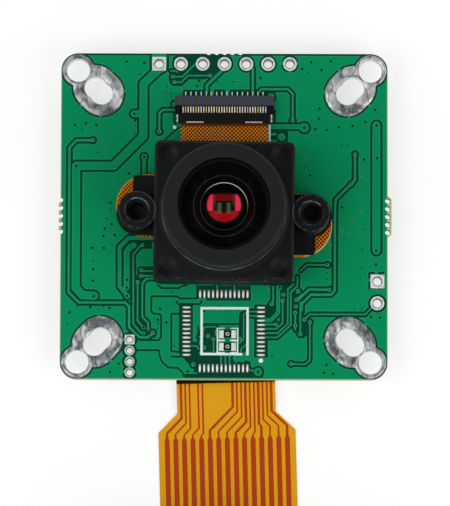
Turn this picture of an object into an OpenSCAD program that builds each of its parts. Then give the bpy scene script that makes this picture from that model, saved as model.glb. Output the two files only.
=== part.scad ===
// Board camera: a square circuit board with an image sensor on a small flexible circuit, a threaded
// lens in a screwed-on holder, and a flat ribbon cable held in a connector on the back of the board.
// Origin: the centre of the mounting holes, on the front face of the board. +Z is the way it looks.

/* [Board] */
// Side of the square board
board_w = 38; // [37:0.5:44]
// Thickness of the board
board_t = 1.6; // [1:0.2:2]
// Radius of the board's corners
corner_r = 2; // [1.25:0.25:2]
// From the board's edge to the centre of each corner hole
hole_inset = 2; // [2:0.1:2.2]
// Diameter of the corner holes, finished
hole_d = 2.7; // [2.2:0.1:2.8]
// From the board's edge to the outer centre of each slotted hole
slot_inset = 4; // [4:0.05:4.2]
// How far the slotted hole's two centres are apart, along X and along Y
slot_step = 0.7; // [0.4:0.1:1]
// Width of the slotted holes, finished
slot_d = 2.6; // [2:0.1:2.6]
// Width of the tinned ring round a slotted hole
slot_ring = 1.3; // [1:0.1:1.5]
// Width of the tinned ring round a corner hole
hole_ring = 0.5; // [0.3:0.1:0.6]
// Thickness of tinned copper on the faces
pad_t = 0.06; // [0.04:0.01:0.1]
// Thickness of plating in a hole
plating = 0.04; // [0.02:0.01:0.05]

/* [Break-off tabs] */
// Diameter of the row of drilled holes at each tab
bite_d = 0.6; // [0.5:0.05:0.7]
// Distance between those holes
bite_pitch = 0.92; // [0.85:0.01:1]
// Number of those holes at each tab
bite_count = 5; // [3:1:6]
// How far the snapped tab stands out on the right edge
right_stub = 0.45; // [0.4:0.05:0.6]
// How far the snapped tab stands out on the left edge
left_stub = 0.2; // [0.1:0.05:0.25]

/* [Header holes] */
// Holes in the row along the top edge
top_holes = 7; // [4:1:8]
// Pitch of the top row and of the pair on the right
wide_pitch = 2.54; // [2:0.02:2.54]
// Holes in the fine row at the lower left
fine_holes = 4; // [2:1:5]
// Pitch of the fine row
fine_pitch = 1.27; // [1.25:0.01:1.5]
// Diameter of the wide-pitch holes
wide_hole_d = 1; // [0.8:0.05:1.1]
// Diameter of the fine-pitch holes
fine_hole_d = 0.74; // [0.5:0.02:0.76]
// Width of the ring round a wide-pitch hole
wide_ring = 0.3; // [0.2:0.05:0.4]
// Width of the ring round a fine-pitch hole
fine_ring = 0.18; // [0.1:0.01:0.2]
// From the board's edge to a wide-pitch hole
wide_inset = 1.2; // [1:0.05:1.4]
// From the board's lower edge to the last fine-pitch hole
fine_inset = 0.8; // [0.7:0.05:1]
// Bare strip between the fine row and the corner pad beside it
fine_pad_gap = 0.25; // [0.2:0.05:0.4]
// From the board's lower edge to the nearer hole of the pair on the right
pair_inset = 8.9; // [8.6:0.1:9.4]

/* [Chip land pattern] */
// Pitch of the lands
land_pitch = 0.5; // [0.4:0.05:0.5]
// Length of a land
land_l = 1; // [0.8:0.05:1.1]
// Width of a land
land_w = 0.29; // [0.2:0.01:0.3]
// From the last land of a row to the middle of the next row's lands
land_corner = 1.56; // [1.4:0.02:1.6]
// Bare strip between the lands and the board's lower edge
land_edge_gap = 0.8; // [0.6:0.1:0.8]
// Least bare strip between the lands and the holder
land_top_gap = 0.4; // [0.3:0.1:0.4]
// Width of the legend's lines
legend_line = 0.28; // [0.15:0.01:0.3]
// Length of a chip resistor
resistor_l = 1.6; // [1.5:0.1:1.8]
// Width of a chip resistor
resistor_w = 0.8; // [0.6:0.05:0.9]
// Height of a chip resistor
resistor_h = 0.45; // [0.3:0.05:0.6]
// Distance between the two chip resistors
resistor_pitch = 1.46; // [1.3:0.02:1.6]

/* [Sensor] */
// Width of the flexible circuit under the holder
flex_w = 15.9; // [15:0.1:17]
// Thickness of the flexible circuit
flex_t = 0.2; // [0.1:0.02:0.24]
// Thickness of its stiffener
stiffener_t = 0.3; // [0.2:0.02:0.32]
// Width of its tail
tail_w = 10.1; // [9.9:0.1:10.3]
// Radius of its side lobes
lobe_r = 3.7; // [3.4:0.1:4]
// How far a side lobe is above or below the middle
lobe_shift = 1; // [0.8:0.1:1.2]
// Length of the sensor package
sensor_l = 11.4; // [9:0.2:12]
// Width of the sensor package
sensor_w = 9.2; // [8:0.2:11]
// Height of the sensor package
sensor_h = 1.2; // [1:0.1:1.5]
// Thickness of the sensor's cover glass
cover_glass_t = 0.5; // [0.4:0.1:0.8]

/* [Lens holder] */
// Side of the holder's square block
holder_w = 16.1; // [15.6:0.1:16.2]
// Height of the square block
holder_h = 6.4; // [6:0.1:7]
// Radius of the block's corners
holder_corner_r = 0.8; // [0.5:0.1:1.2]
// Chamfer round the block's top
holder_chamfer = 0.3; // [0.2:0.05:0.4]
// Outside diameter of the collar round the lens
collar_d = 14.3; // [13.8:0.1:14.6]
// Height of the collar above the block
collar_h = 3.3; // [2.5:0.1:3.5]
// Distance between the two screw bosses
boss_spacing = 20; // [19.8:0.1:20.4]
// Outside diameter of a screw boss
boss_d = 4.4; // [4:0.1:4.8]
// Height of a screw boss
boss_h = 5.4; // [4.5:0.1:6]
// Diameter of the hole in a boss
boss_hole_d = 1.8; // [1.7:0.05:2]
// Thickness of the ears that carry the bosses
ear_t = 1.2; // [1:0.1:1.6]
// How far the holder is turned within the play of its screws, in degrees
holder_turn = -0.7; // [-0.8:0.1:0.8]
// Diameter of the round marks on the block's corners
mark_d = 2.4; // [2:0.1:2.8]
// Depth of the round marks
mark_depth = 0.3; // [0.2:0.05:0.5]
// Distance of the round marks from the lens axis, along X and Y
mark_at = 6.45; // [6.3:0.05:6.5]
// Inside width of the sensor chamber
chamber_w = 13; // [12.6:0.1:13.2]
// Thickness of the infrared filter
filter_t = 0.4; // [0.3:0.05:0.6]
// Width of the infrared filter
filter_w = 10; // [9.5:0.1:11]

/* [Lens] */
// Outside diameter of the lens thread
thread_d = 11.9; // [11.8:0.05:11.95]
// Diameter of the lens head
head_d = 14; // [13:0.1:14.4]
// Height of the lens head
head_h = 4.7; // [4.2:0.1:5]
// Gap between the lens head and the collar
focus_gap = 0.6; // [0.4:0.1:0.9]
// Diameter of the front glass
front_glass_d = 10.3; // [10:0.1:10.6]
// Thickness of the front glass at its edge
front_glass_t = 0.9; // [0.7:0.1:1.1]
// How far the front glass bulges
front_bulge = 1.35; // [1:0.05:1.5]
// Depth of the front glass's seat below the head's face
front_seat = 2.6; // [2.5:0.1:2.8]
// Diameter of the inner glasses
inner_glass_d = 9.1; // [8.8:0.1:9.3]
// Diameter of the stop's opening
stop_d = 3.8; // [2.5:0.1:4.2]
// Height of the rear retaining ring
rear_ring_h = 0.6; // [0.5:0.1:0.8]
// Thickness of the rear glass at its edge
rear_glass_t = 1.8; // [1.4:0.1:2]
// Height of the spacer behind the middle glass
middle_spacer_h = 1; // [0.95:0.05:1.1]
// Thickness of the middle glass at its edge
middle_glass_t = 1.5; // [1.2:0.1:1.6]
// Thickness of the stop
stop_t = 0.2; // [0.1:0.05:0.3]
// Thickness of the second glass at its edge
second_glass_t = 1.4; // [1.2:0.1:1.5]
// Width of the polished faces of the inner glasses
polished_d = 7; // [6:0.2:7.2]
// Width of the ledge of a spacer or a ring in the barrel
ring_ledge = 0.8; // [0.6:0.1:0.9]
// Diameter of the front spacer's throat
throat_d = 5.3; // [4.6:0.1:5.8]
// Diameter of the front spacer's mouth
mouth_d = 6.6; // [6:0.1:7.2]

/* [Front connector] */
// Number of contacts
front_contacts = 33; // [25:2:33]
// Pitch of the contacts
front_pitch = 0.3; // [0.28:0.01:0.31]
// From the lens axis to the connector's mouth
front_mouth = 10.8; // [10.6:0.1:11.2]
// Height of the connector
front_conn_h = 1; // [0.95:0.05:1.2]

/* [Rear connector] */
// Number of contacts
rear_contacts = 22; // [15:1:22]
// Pitch of the contacts
rear_pitch = 0.5; // [0.45:0.01:0.52]
// From the board's lower edge to the connector's mouth
rear_inset = 0.1; // [0.1:0.1:0.6]
// Height of the connector
rear_conn_h = 2; // [1.8:0.1:2.2]

/* [Rear components] */
// Side of the processor
processor_w = 7; // [5:0.5:8]
// Height of the processor
processor_h = 0.9; // [0.6:0.1:1.2]
// Side of a power inductor
inductor_w = 3; // [2.5:0.1:3.2]
// Diameter of a screw head
screw_head_d = 3.8; // [3.4:0.1:4]
// Height of a screw head
screw_head_h = 1.3; // [1:0.1:1.5]
// Diameter of a screw's shank
screw_d = 1.7; // [1.5:0.05:1.7]
// Length of a screw under its head
screw_l = 5; // [4.5:0.5:6]

/* [Ribbon cable] */
// Width of the ribbon in the connector
ribbon_narrow_w = 11.5; // [11:0.1:11.5]
// Width of the rest of the ribbon
ribbon_w = 16; // [15:0.5:17]
// Thickness of the ribbon
ribbon_t = 0.15; // [0.1:0.01:0.16]
// Thickness of its stiffeners
ribbon_stiffener_t = 0.2; // [0.15:0.01:0.22]
// Angle at which the ribbon leaves the board
ribbon_skew = 1.6; // [0:0.1:1.8]
// Sideways place of the ribbon at the board's edge
ribbon_x = 0.25; // [0:0.05:0.3]

/* [Hidden] */
$fn = 64;
cut = 1;                    // how far a cutting shape runs past what it cuts
slip = 0.05;                // radial play of glass and rings in the barrel
hair = 0.02;                // play between moulded parts and metal
half = board_w / 2;
hole_at = half - hole_inset;
slot_near = half - slot_inset;
slot_far = slot_near - slot_step;
fine_wide = fine_hole_d + 2 * fine_ring;
fine_x = -slot_far + slot_d / 2 + slot_ring + fine_pad_gap + fine_wide / 2;
back_z = -board_t;
flex_z = stiffener_t;
holder_z = flex_z + flex_t;
lobe_x = boss_spacing / 2 - 1.15;     // centre of a flex lobe, from the lens axis
ear_margin = 0.25;          // bare flex round the holder's ears
boss_chamfer = 0.45;
filter_ledge = 0.5;         // thickness of the ledge between filter and lens bore
chamber_h = 4.1;
bore_z = holder_z + chamber_h + filter_ledge;
collar_z = holder_z + holder_h + collar_h;
thread_bore_d = thread_d + 2 * slip;
head_z = collar_z + focus_gap;
lens_top = head_z + head_h;
barrel_z = bore_z + 0.4;
seat_z = lens_top - front_seat;
barrel_bore_d = inner_glass_d + 2 * slip;
front_bore_d = front_glass_d + 2 * slip;
land_room = half - max(flex_w, holder_w) / 2 - land_edge_gap - land_top_gap - land_l - 2 * land_corner;
lands = floor(land_room / land_pitch) + 1;                  // on each side of the empty position
land_span = (lands - 1) * land_pitch + 2 * land_corner;     // between rows on opposite sides
land_y = -half + land_edge_gap + (land_span + land_l) / 2;
legend_w = (lands - 1) * land_pitch + 0.1;
legend_at = [0.1, land_y];
legend_t = 0.05;
resistor_at = [0.34, 1.72 - legend_w / 2];                  // middle of the pair, from the legend's
terminal_l = 0.35;
screw_hole_d = screw_d + 0.5;
screw_socket = 0.6;

// Connectors, as [contacts, pitch, block depth, window depth, latch depth, height, latch radius,
// slot floor, slot height, slot width, contact thickness, beam thickness, tail length, side wall,
// whether every second tail is at the mouth, width of the ear at each end]
front_conn = [front_contacts, front_pitch, 1.15, 0.8, 1.2, front_conn_h, 0.22,
              flex_z - 0.03, flex_t + 0.06, tail_w + 0.1, 0.12, 0.1, 0.55, 0.25, true, 0.42];
rear_slot_z = 0.78;
ribbon_play = 0.15;         // between the ribbon and the ends of its slot
rear_conn = [rear_contacts, rear_pitch, 2.1, 0.9, 1.8, rear_conn_h, 0.36,
             rear_slot_z, ribbon_t + ribbon_stiffener_t + 0.08,
             ribbon_narrow_w + 2 * (ribbon_x + ribbon_play), 0.2, 0.18, 0.7, 0.7, false, 0.8];
rear_mouth = -half + rear_inset;
table_z = back_z - rear_conn_h;

// Ribbon route from inside the connector to the roll, as [distance from the mouth, height above the
// surface it lies on, width share from narrow to full]
ribbon_lift = rear_conn_h - rear_slot_z - ribbon_stiffener_t - 0.04 - ribbon_t;
ribbon_route = [
    [-2.3, 1, 0], [0, 1, 0], [0.6, 0.98, 0], [1.4, 0.85, 0], [2.4, 0.6, 0], [3.4, 0.35, 0],
    [4.1, 0.2, 0], [5.0, 0.1, 0.45], [6.1, 0.03, 1], [8, 0, 1], [12, 0, 1], [16, 0, 1],
    [20, 0, 1], [24, 0, 1], [27, 0, 1]];
roll_y = 27;                // from the mouth to under the roll's middle
roll_r = 8.4;
roll_wall = 1.05;           // the wound turns, with the air between them
roll_inner_r = roll_r - roll_wall;
end_plate = [5, 0.25];      // length and thickness of the stiffener at the free end
end_plate_turn = -27;       // from the roll's top, in degrees

// ---------------------------------------------------------------- shared shapes

// Rectangle with round corners, centred.
module rounded(w, h, r) {
    square([w - 2 * r, h], center = true);
    square([w, h - 2 * r], center = true);
    for (x = [-1, 1], y = [-1, 1]) translate([x * (w / 2 - r), y * (h / 2 - r)]) circle(r);
}

// Strip with round ends from a to b.
module stadium(a, b, d) {
    run = b - a;
    for (p = [a, b]) translate(p) circle(d = d);
    translate((a + b) / 2) rotate(atan2(run[1], run[0])) square([norm(run), d], center = true);
}

// A box given by two corners.
module block(low, high) {
    translate(low) cube(high - low);
}

// Children built upwards from the back face.
module on_back() {
    translate([0, 0, back_z]) mirror([0, 0, 1]) children();
}

// One child in each corner of the board.
module at_corners() {
    for (a = [0:90:270]) rotate(a) children();
}

// ---------------------------------------------------------------- board

module corner_holes(extra = 0) {
    translate([hole_at, hole_at]) circle(d = hole_d + extra);
    for (p = [slot_near, slot_far]) translate([p, p]) circle(d = slot_d + extra);
}

module corner_pad() {
    translate([hole_at, hole_at]) circle(d = hole_d + 2 * hole_ring);
    stadium([slot_near, slot_near], [slot_far, slot_far], slot_d + 2 * slot_ring);
}

// The row of drilled holes at a break-off tab, along Y.
module bites() {
    for (i = [0:bite_count - 1]) translate([0, (i - (bite_count - 1) / 2) * bite_pitch]) circle(d = bite_d);
}

module board_outline() {
    tab = bite_count * bite_pitch;
    difference() {
        union() {
            rounded(board_w, board_w, corner_r);
            polygon([[half - cut, -tab / 2 - 0.1], [half, -tab / 2 - 0.1],
                     [half + right_stub, -tab / 2 + 0.3], [half + right_stub, tab / 2 - 0.3],
                     [half, tab / 2 + 0.1], [half - cut, tab / 2 + 0.1]]);
            translate([-half - left_stub, -(tab - bite_d) / 2]) square([cut, tab - bite_d]);
        }
        translate([half, 0]) bites();
        translate([-half, 0]) bites();
        translate([0, half + bite_d / 4]) rotate(90) bites();
    }
}

// Places of the header holes.
function top_row() = [for (i = [0:top_holes - 1])
    [(i - (top_holes - 1) / 2) * wide_pitch, half - wide_inset]];
function fine_row() = [for (i = [0:fine_holes - 1]) [fine_x, -half + fine_inset + i * fine_pitch]];
function right_pair() = [for (i = [0, 1]) [half - wide_inset, -half + pair_inset + i * wide_pitch]];

module at_each(places) {
    for (p = places) translate(p) children();
}

module pcb() {
    color("seagreen") translate([0, 0, back_z]) linear_extrude(board_t) difference() {
        board_outline();
        at_corners() corner_holes(2 * plating);
        at_each(concat(top_row(), right_pair())) circle(d = wide_hole_d + 2 * plating);
        at_each(fine_row()) circle(d = fine_hole_d + 2 * plating);
        for (x = [-1, 1]) translate([x * boss_spacing / 2, 0]) circle(d = screw_hole_d);
    }
}

// Tinned pads on both faces and the plating that joins them through the holes.
module mounting_pads() {
    color("silver") at_corners() {
        for (z = [0, back_z - pad_t]) translate([0, 0, z]) linear_extrude(pad_t) difference() {
            corner_pad();
            corner_holes();
        }
        translate([0, 0, back_z]) linear_extrude(board_t) difference() {
            corner_holes(2 * plating);
            corner_holes();
        }
    }
}

// A plated hole with a ring, or a square land, on both faces.
module plated_hole(hole, ring, square_land) {
    wide = hole + 2 * ring;
    difference() {
        union() {
            translate([0, 0, back_z]) cylinder(d = hole + 2 * plating, h = board_t);
            for (z = [0, back_z - pad_t]) translate([0, 0, z]) linear_extrude(pad_t)
                if (square_land) square(wide, center = true); else circle(d = wide);
        }
        translate([0, 0, back_z - cut]) cylinder(d = hole, h = board_t + 2 * cut);
    }
}

// A row of plated holes, with a square land on the one numbered first.
module hole_row(places, hole, ring, first) {
    color("silver") for (i = [0:len(places) - 1])
        translate(places[i]) plated_hole(hole, ring, i == first);
}

module header_holes() {
    hole_row(top_row(), wide_hole_d, wide_ring, 0);
}

module fine_header_holes() {
    hole_row(fine_row(), fine_hole_d, fine_ring, fine_holes - 1);
}

module two_pin_holes() {
    hole_row(right_pair(), wide_hole_d, wide_ring, 1);
}

// Four rows of bare lands where a square chip could be fitted.
module chip_lands() {
    color("silver") translate([0, land_y, 0]) linear_extrude(pad_t)
        for (a = [0:90:270], i = [0:lands - 1])
            rotate(a) translate([(i - (lands - 1) / 2) * land_pitch, land_span / 2])
                square([land_w, land_l], center = true);
}

// A square frame of legend lines, with a gap at one corner to mark the first pin.
module legend_frame() {
    gap = 0.45;
    difference() {
        square(legend_w, center = true);
        square(legend_w - 2 * legend_line, center = true);
        translate([legend_w / 2 - legend_line - gap, -legend_w / 2 - cut]) square([gap, legend_line + cut]);
    }
}

// Legend brackets round the resistor pair.
module resistor_legend() {
    w = resistor_l + 0.9;
    h = 2 * resistor_pitch;
    line = legend_line / 2;
    translate(resistor_at) difference() {
        translate([-w / 2, -h / 2]) square([w, h]);
        for (y = [-1, 1]) translate([0, y * resistor_pitch / 2])
            square([w - 2 * line, resistor_pitch - 1.4 * line], center = true);
        square([0.6, h + cut], center = true);
    }
}

module board_legend() {
    color("white") linear_extrude(legend_t) {
        translate(legend_at) legend_frame();
        translate(legend_at) resistor_legend();
        translate([land_span / 2, land_y - land_span / 2 + 0.9]) circle(d = 0.5);
        translate([-connector_w(front_conn) / 2, front_mouth - 0.45]) circle(d = 0.4);
        translate([tail_w / 2 + 0.08, holder_w / 2 + 0.3]) square([0.26, front_mouth - holder_w / 2 - 0.4]);
    }
}

// Places of the two chip resistors.
function resistors() = [for (y = [-1, 1])
    legend_at + resistor_at + [0, y * resistor_pitch / 2]];

module resistor_bodies() {
    color("#202022") at_each(resistors()) translate([0, 0, pad_t + resistor_h / 2])
        cube([resistor_l - 2 * terminal_l, resistor_w, resistor_h - 2 * hair], center = true);
}

// Metal caps at the resistors' ends, each on its land.
module resistor_terminals() {
    land = [0.6, resistor_w + 0.1, pad_t];
    color("silver") at_each(resistors()) for (x = [-1, 1]) {
        translate([x * (resistor_l - terminal_l) / 2, 0, pad_t + resistor_h / 2])
            cube([terminal_l, resistor_w, resistor_h], center = true);
        translate([x * (resistor_l - 0.2) / 2, 0, pad_t / 2]) cube(land, center = true);
    }
}

// ---------------------------------------------------------------- sensor on its flexible circuit

module lobes(grow = 0) {
    for (a = [0, 180]) rotate(a) translate([-lobe_x, lobe_shift]) {
        circle(r = lobe_r + grow);
        translate([0, -lobe_r - grow]) square([lobe_x, 2 * (lobe_r + grow)]);
    }
}

// Everything that turns with the holder on the board.
module holder_place() {
    rotate(holder_turn) children();
}

module screw_holes() {
    for (x = [-1, 1]) translate([x * boss_spacing / 2, 0]) circle(d = screw_hole_d);
}

module flex_outline() {
    rounded(flex_w, flex_w, holder_corner_r);
    lobes();
}

module sensor_flex() {
    tail_end = front_mouth + front_conn[2] + front_conn[3] / 2;
    color("darkorange") translate([0, 0, flex_z]) linear_extrude(flex_t) {
        holder_place() difference() {
            flex_outline();
            screw_holes();
        }
        translate([-tail_w / 2, 0]) square([tail_w, tail_end]);
    }
}

module flex_stiffener() {
    color("wheat") holder_place() linear_extrude(stiffener_t) difference() {
        flex_outline();
        screw_holes();
    }
}

module image_sensor() {
    color("#2a2a2c") holder_place() translate([0, 0, holder_z]) linear_extrude(sensor_h)
        square([sensor_l, sensor_w], center = true);
}

module sensor_cover_glass() {
    color("#334455", 0.6) holder_place() translate([0, 0, holder_z + sensor_h])
        linear_extrude(cover_glass_t) square([sensor_l - 1, sensor_w - 1], center = true);
}

// ---------------------------------------------------------------- lens holder

// The square block, chamfered round its top by profiles that cross.
module holder_block() {
    w = holder_w / 2;
    c = holder_chamfer;
    profile = [[-w, 0], [w, 0], [w, holder_h - c],
               [w - c, holder_h], [c - w, holder_h], [-w, holder_h - c]];
    intersection() {
        linear_extrude(holder_h) rounded(holder_w, holder_w, holder_corner_r);
        run_along_y(profile);
        rotate(90) run_along_y(profile);
    }
}

// A profile in X and Z run along Y, past the block.
module run_along_y(points) {
    translate([0, holder_w, 0]) rotate([90, 0, 0]) linear_extrude(2 * holder_w) polygon(points);
}

// Outline of one ear: a foot round the boss, a tab above it and the lobe's lower half.
module ear_outline() {
    boss = boss_spacing / 2;
    translate([-boss, 0]) circle(d = boss_d + 0.5);
    translate([-boss - 0.6, 0]) square([boss - holder_w / 2 + 0.7, lobe_shift + lobe_r - ear_margin - 0.4]);
    translate([-boss - 0.2, 0]) square([boss - holder_w / 2 + 0.3, lobe_shift + lobe_r - ear_margin]);
    translate([-boss - 0.2, lobe_shift + lobe_r - ear_margin - 0.4]) circle(0.4);
    intersection() {
        translate([-lobe_x, lobe_shift]) circle(r = lobe_r - ear_margin);
        translate([-lobe_x - lobe_r, lobe_shift - lobe_r])
            square([lobe_x + lobe_r - holder_w / 2 + 0.1, lobe_r]);
    }
    translate([-lobe_x, lobe_shift - lobe_r + ear_margin])
        square([lobe_x - holder_w / 2 + 0.1, lobe_r - ear_margin]);
}

module boss_bore() {
    translate([0, 0, -cut]) cylinder(d = boss_hole_d, h = boss_h + 2 * cut);
    translate([0, 0, boss_h - boss_chamfer])
        cylinder(d1 = boss_hole_d, d2 = boss_hole_d + 4 * boss_chamfer, h = 2 * boss_chamfer);
}

module lens_holder() {
    color("#1c1c1e") holder_place() translate([0, 0, holder_z]) difference() {
        union() {
            holder_block();
            cylinder(d = collar_d, h = holder_h + collar_h);
            translate([0, 0, holder_h]) cylinder(d1 = collar_d + 0.8, d2 = collar_d, h = 0.4);
            for (a = [0, 180]) rotate(a) {
                linear_extrude(ear_t) ear_outline();
                translate([-boss_spacing / 2, 0, 0]) cylinder(d = boss_d, h = boss_h);
            }
        }
        translate([0, 0, (chamber_h - cut) / 2])
            cube([chamber_w, chamber_w, chamber_h + cut], center = true);
        cylinder(d = filter_w - 1.5, h = holder_h);
        translate([0, 0, chamber_h + filter_ledge]) cylinder(d = thread_bore_d, h = holder_h + collar_h);
        for (x = [-1, 1]) translate([x * boss_spacing / 2, 0, 0]) boss_bore();
        for (x = [-1, 1], y = [-1, 1]) translate([x * mark_at, y * mark_at, holder_h - mark_depth])
            cylinder(d1 = 0.35 * mark_d, d2 = mark_d, h = mark_depth + 0.01);
    }
}

// Screws from the back, through the board and the flexible circuit, up into the bosses.
module holder_screws() {
    color("silver") holder_place() on_back() for (x = [-1, 1]) translate([x * boss_spacing / 2, 0, 0]) {
        difference() {
            cylinder(d = screw_head_d, h = screw_head_h);
            for (a = [0, 90]) rotate(a) translate([0, 0, screw_head_h])
                cube([screw_head_d * 0.55, 0.5, 2 * screw_socket], center = true);
        }
        mirror([0, 0, 1]) cylinder(d = screw_d, h = screw_l);
    }
}

module infrared_filter() {
    color("#558899", 0.5) holder_place() translate([0, 0, holder_z + chamber_h - filter_t / 2])
        cube([filter_w, filter_w, filter_t], center = true);
}

// ---------------------------------------------------------------- lens

// Glass disc from z0 to z1 with a spherical bulge (or, if negative, hollow) on each face.
module glass(z0, z1, d, front, back) {
    difference() {
        union() {
            translate([0, 0, z0]) cylinder(d = d, h = z1 - z0);
            if (front[1] > 0) translate([0, 0, z1]) cap(front[0], front[1]);
            if (back[1] > 0) translate([0, 0, z0]) mirror([0, 0, 1]) cap(back[0], back[1]);
        }
        if (front[1] < 0) translate([0, 0, z1]) mirror([0, 0, 1]) cap(front[0], -front[1]);
        if (back[1] < 0) translate([0, 0, z0]) cap(back[0], -back[1]);
    }
}

// The part above z = 0 of a ball that is d wide and sag high there.
module cap(d, sag) {
    r = (d * d / 4 + sag * sag) / (2 * sag);
    intersection() {
        translate([0, 0, sag - r]) sphere(r, $fn = 96);
        cylinder(d = d, h = sag + cut);
    }
}

// A flat ring from z0 to z1.
module ring(z0, z1, outer, inner) {
    translate([0, 0, z0]) difference() {
        cylinder(d = outer, h = z1 - z0);
        translate([0, 0, -cut]) cylinder(d = inner, h = z1 - z0 + 2 * cut);
    }
}

// Heights in the barrel at which one piece of the stack ends and the next begins.
rear_glass_z = barrel_z + rear_ring_h;
middle_spacer_z = rear_glass_z + rear_glass_t;
middle_glass_z = middle_spacer_z + middle_spacer_h;
stop_z = middle_glass_z + middle_glass_t;
second_glass_z = stop_z + stop_t;
front_spacer_z = second_glass_z + second_glass_t;
curve = [0.7, 0.4, 0.5, 0.3];         // how far the inner glasses' faces bulge or are hollowed

module lens_barrel() {
    color("#242426") difference() {
        union() {
            translate([0, 0, barrel_z]) cylinder(d = thread_d, h = lens_top - barrel_z);
            translate([0, 0, head_z]) cylinder(d = head_d, h = head_h - 0.25);
            translate([0, 0, lens_top - 0.25]) cylinder(d1 = head_d, d2 = head_d - 0.5, h = 0.25);
        }
        translate([0, 0, barrel_z - cut]) cylinder(d = barrel_bore_d, h = head_h + lens_top);
        translate([0, 0, seat_z]) cylinder(d = front_bore_d, h = front_seat + cut);
    }
}

module front_glass() {
    color("#10131a", 0.5) glass(seat_z, seat_z + front_glass_t, front_glass_d,
                                [front_glass_d - 0.6, front_bulge], [mouth_d, -1.4]);
}

module front_retaining_ring() {
    color("#161618") ring(seat_z + front_glass_t, seat_z + front_glass_t + 0.6,
                          front_glass_d, front_glass_d - 0.6);
}

module front_spacer() {
    h = seat_z - front_spacer_z;
    color("#161618") translate([0, 0, front_spacer_z]) difference() {
        cylinder(d = inner_glass_d, h = h);
        translate([0, 0, -cut]) cylinder(d = throat_d, h = h);
        cylinder(d1 = throat_d, d2 = mouth_d, h = h + 0.001);
    }
}

module second_glass() {
    color("#7a1020", 0.6) glass(second_glass_z, front_spacer_z, inner_glass_d,
                                [throat_d - 0.3, curve[0]], [polished_d - 1, -curve[1]]);
}

module aperture_stop() {
    color("#161618") ring(stop_z, second_glass_z, inner_glass_d, stop_d);
}

module middle_glass() {
    color("#446677", 0.5) glass(middle_glass_z, stop_z, inner_glass_d,
                                [polished_d, -curve[3]], [polished_d, curve[2]]);
}

module middle_spacer() {
    color("#161618") ring(middle_spacer_z, middle_glass_z, inner_glass_d, inner_glass_d - 2 * ring_ledge);
}

module rear_glass() {
    color("#446677", 0.5) glass(rear_glass_z, middle_spacer_z, inner_glass_d,
                                [polished_d, curve[1]], [polished_d, curve[1]]);
}

module rear_retaining_ring() {
    color("#161618") ring(barrel_z, rear_glass_z, inner_glass_d, inner_glass_d - 2 * ring_ledge);
}

// ---------------------------------------------------------------- connectors

function contact_span(c) = (c[0] - 1) * c[1];
function slot_w(c) = max(contact_span(c) + 2 * c[10], c[9]);
function block_w(c) = slot_w(c) + 2 * c[13];
function connector_w(c) = block_w(c) + 2 * c[15];
function connector_d(c) = c[2] + c[3] + c[4];
function latch_y(c) = c[2] + c[3] + c[6] + hair;
function latch_floor(c) = c[5] - 2 * c[6] - 0.05;
function tail_at_mouth(c, i) = c[14] && i % 2 == 0;

// Side profile of one contact, in Y and Z: base, pillar, sprung beam and solder tail.
module contact_profile(c, at_mouth) {
    t = c[11];
    tip = c[2] * 0.35;
    pillar = c[2] + c[3] - t - 0.04;
    beam_z = c[7] + c[8] + 0.06;
    base_z = c[7] - t - 0.02;
    foot = at_mouth ? 0.3 * c[2] : connector_d(c) - 0.4 * c[4];
    base = at_mouth ? [foot, pillar + t] : [tip, foot + t];
    tail = at_mouth ? [-c[12] / 2, foot + t] : [foot, connector_d(c) + c[12]];
    translate([base[0], base_z]) square([base[1] - base[0], t]);
    translate([pillar, base_z]) square([t, beam_z + t - base_z]);
    translate([tip, beam_z]) square([pillar + t - tip, t]);
    translate([tip, beam_z - 0.05]) square([0.15, t]);
    translate([foot, 0]) square([t, base_z + t]);
    translate([tail[0], 0]) square([tail[1] - tail[0], t]);
}

// Runs a side profile in Y and Z across X, centred, w wide.
module across(w) {
    rotate([90, 0, 90]) translate([0, 0, -w / 2]) linear_extrude(w) children();
}

module at_contacts(c) {
    for (i = [0:c[0] - 1]) translate([i * c[1] - contact_span(c) / 2, 0, 0]) {
        $at_mouth = tail_at_mouth(c, i);
        children();
    }
}

module connector_contacts(c) {
    at_contacts(c) across(c[10]) contact_profile(c, $at_mouth);
}

// The side wall of one end: full height beside the cable, then a cradle for the latch's round edge.
module connector_side(c, side) {
    window_end = c[2] + c[3];
    axis_z = c[5] - c[6];
    difference() {
        union() {
            block([-side / 2, c[2] - 0.1, 0.03], [side / 2, window_end, c[5]]);
            block([-side / 2, c[2], 0.03], [side / 2, connector_d(c) - 0.2 * c[4], latch_floor(c)]);
            block([-side / 2, c[2], 0.03], [side / 2, latch_y(c) - hair, axis_z]);
        }
        translate([0, latch_y(c), axis_z]) rotate([0, 90, 0])
            cylinder(r = c[6] + 1.5 * hair, h = side + cut, center = true);
    }
}

module connector_housing(c) {
    w = block_w(c) / 2;
    side = c[13] + c[15];
    window_end = c[2] + c[3];
    rib_top = c[7] + c[8] + 0.1;
    difference() {
        union() {
            block([-w, 0, 0.03], [w, c[2], c[5]]);
            block([-w, c[2] - 0.1, 0.03], [w, window_end, rib_top]);
            block([-w, c[2] - 0.1, 0.03], [w, connector_d(c) - 0.2 * c[4], c[7]]);
            for (s = [-1, 1]) translate([s * (slot_w(c) + side) / 2, 0, 0]) connector_side(c, side);
        }
        block([-c[9] / 2, -cut, c[7]], [c[9] / 2, c[2] + 0.6 * c[3], c[7] + c[8]]);
        at_contacts(c) contact_slot(c, $at_mouth);
    }
}

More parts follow.
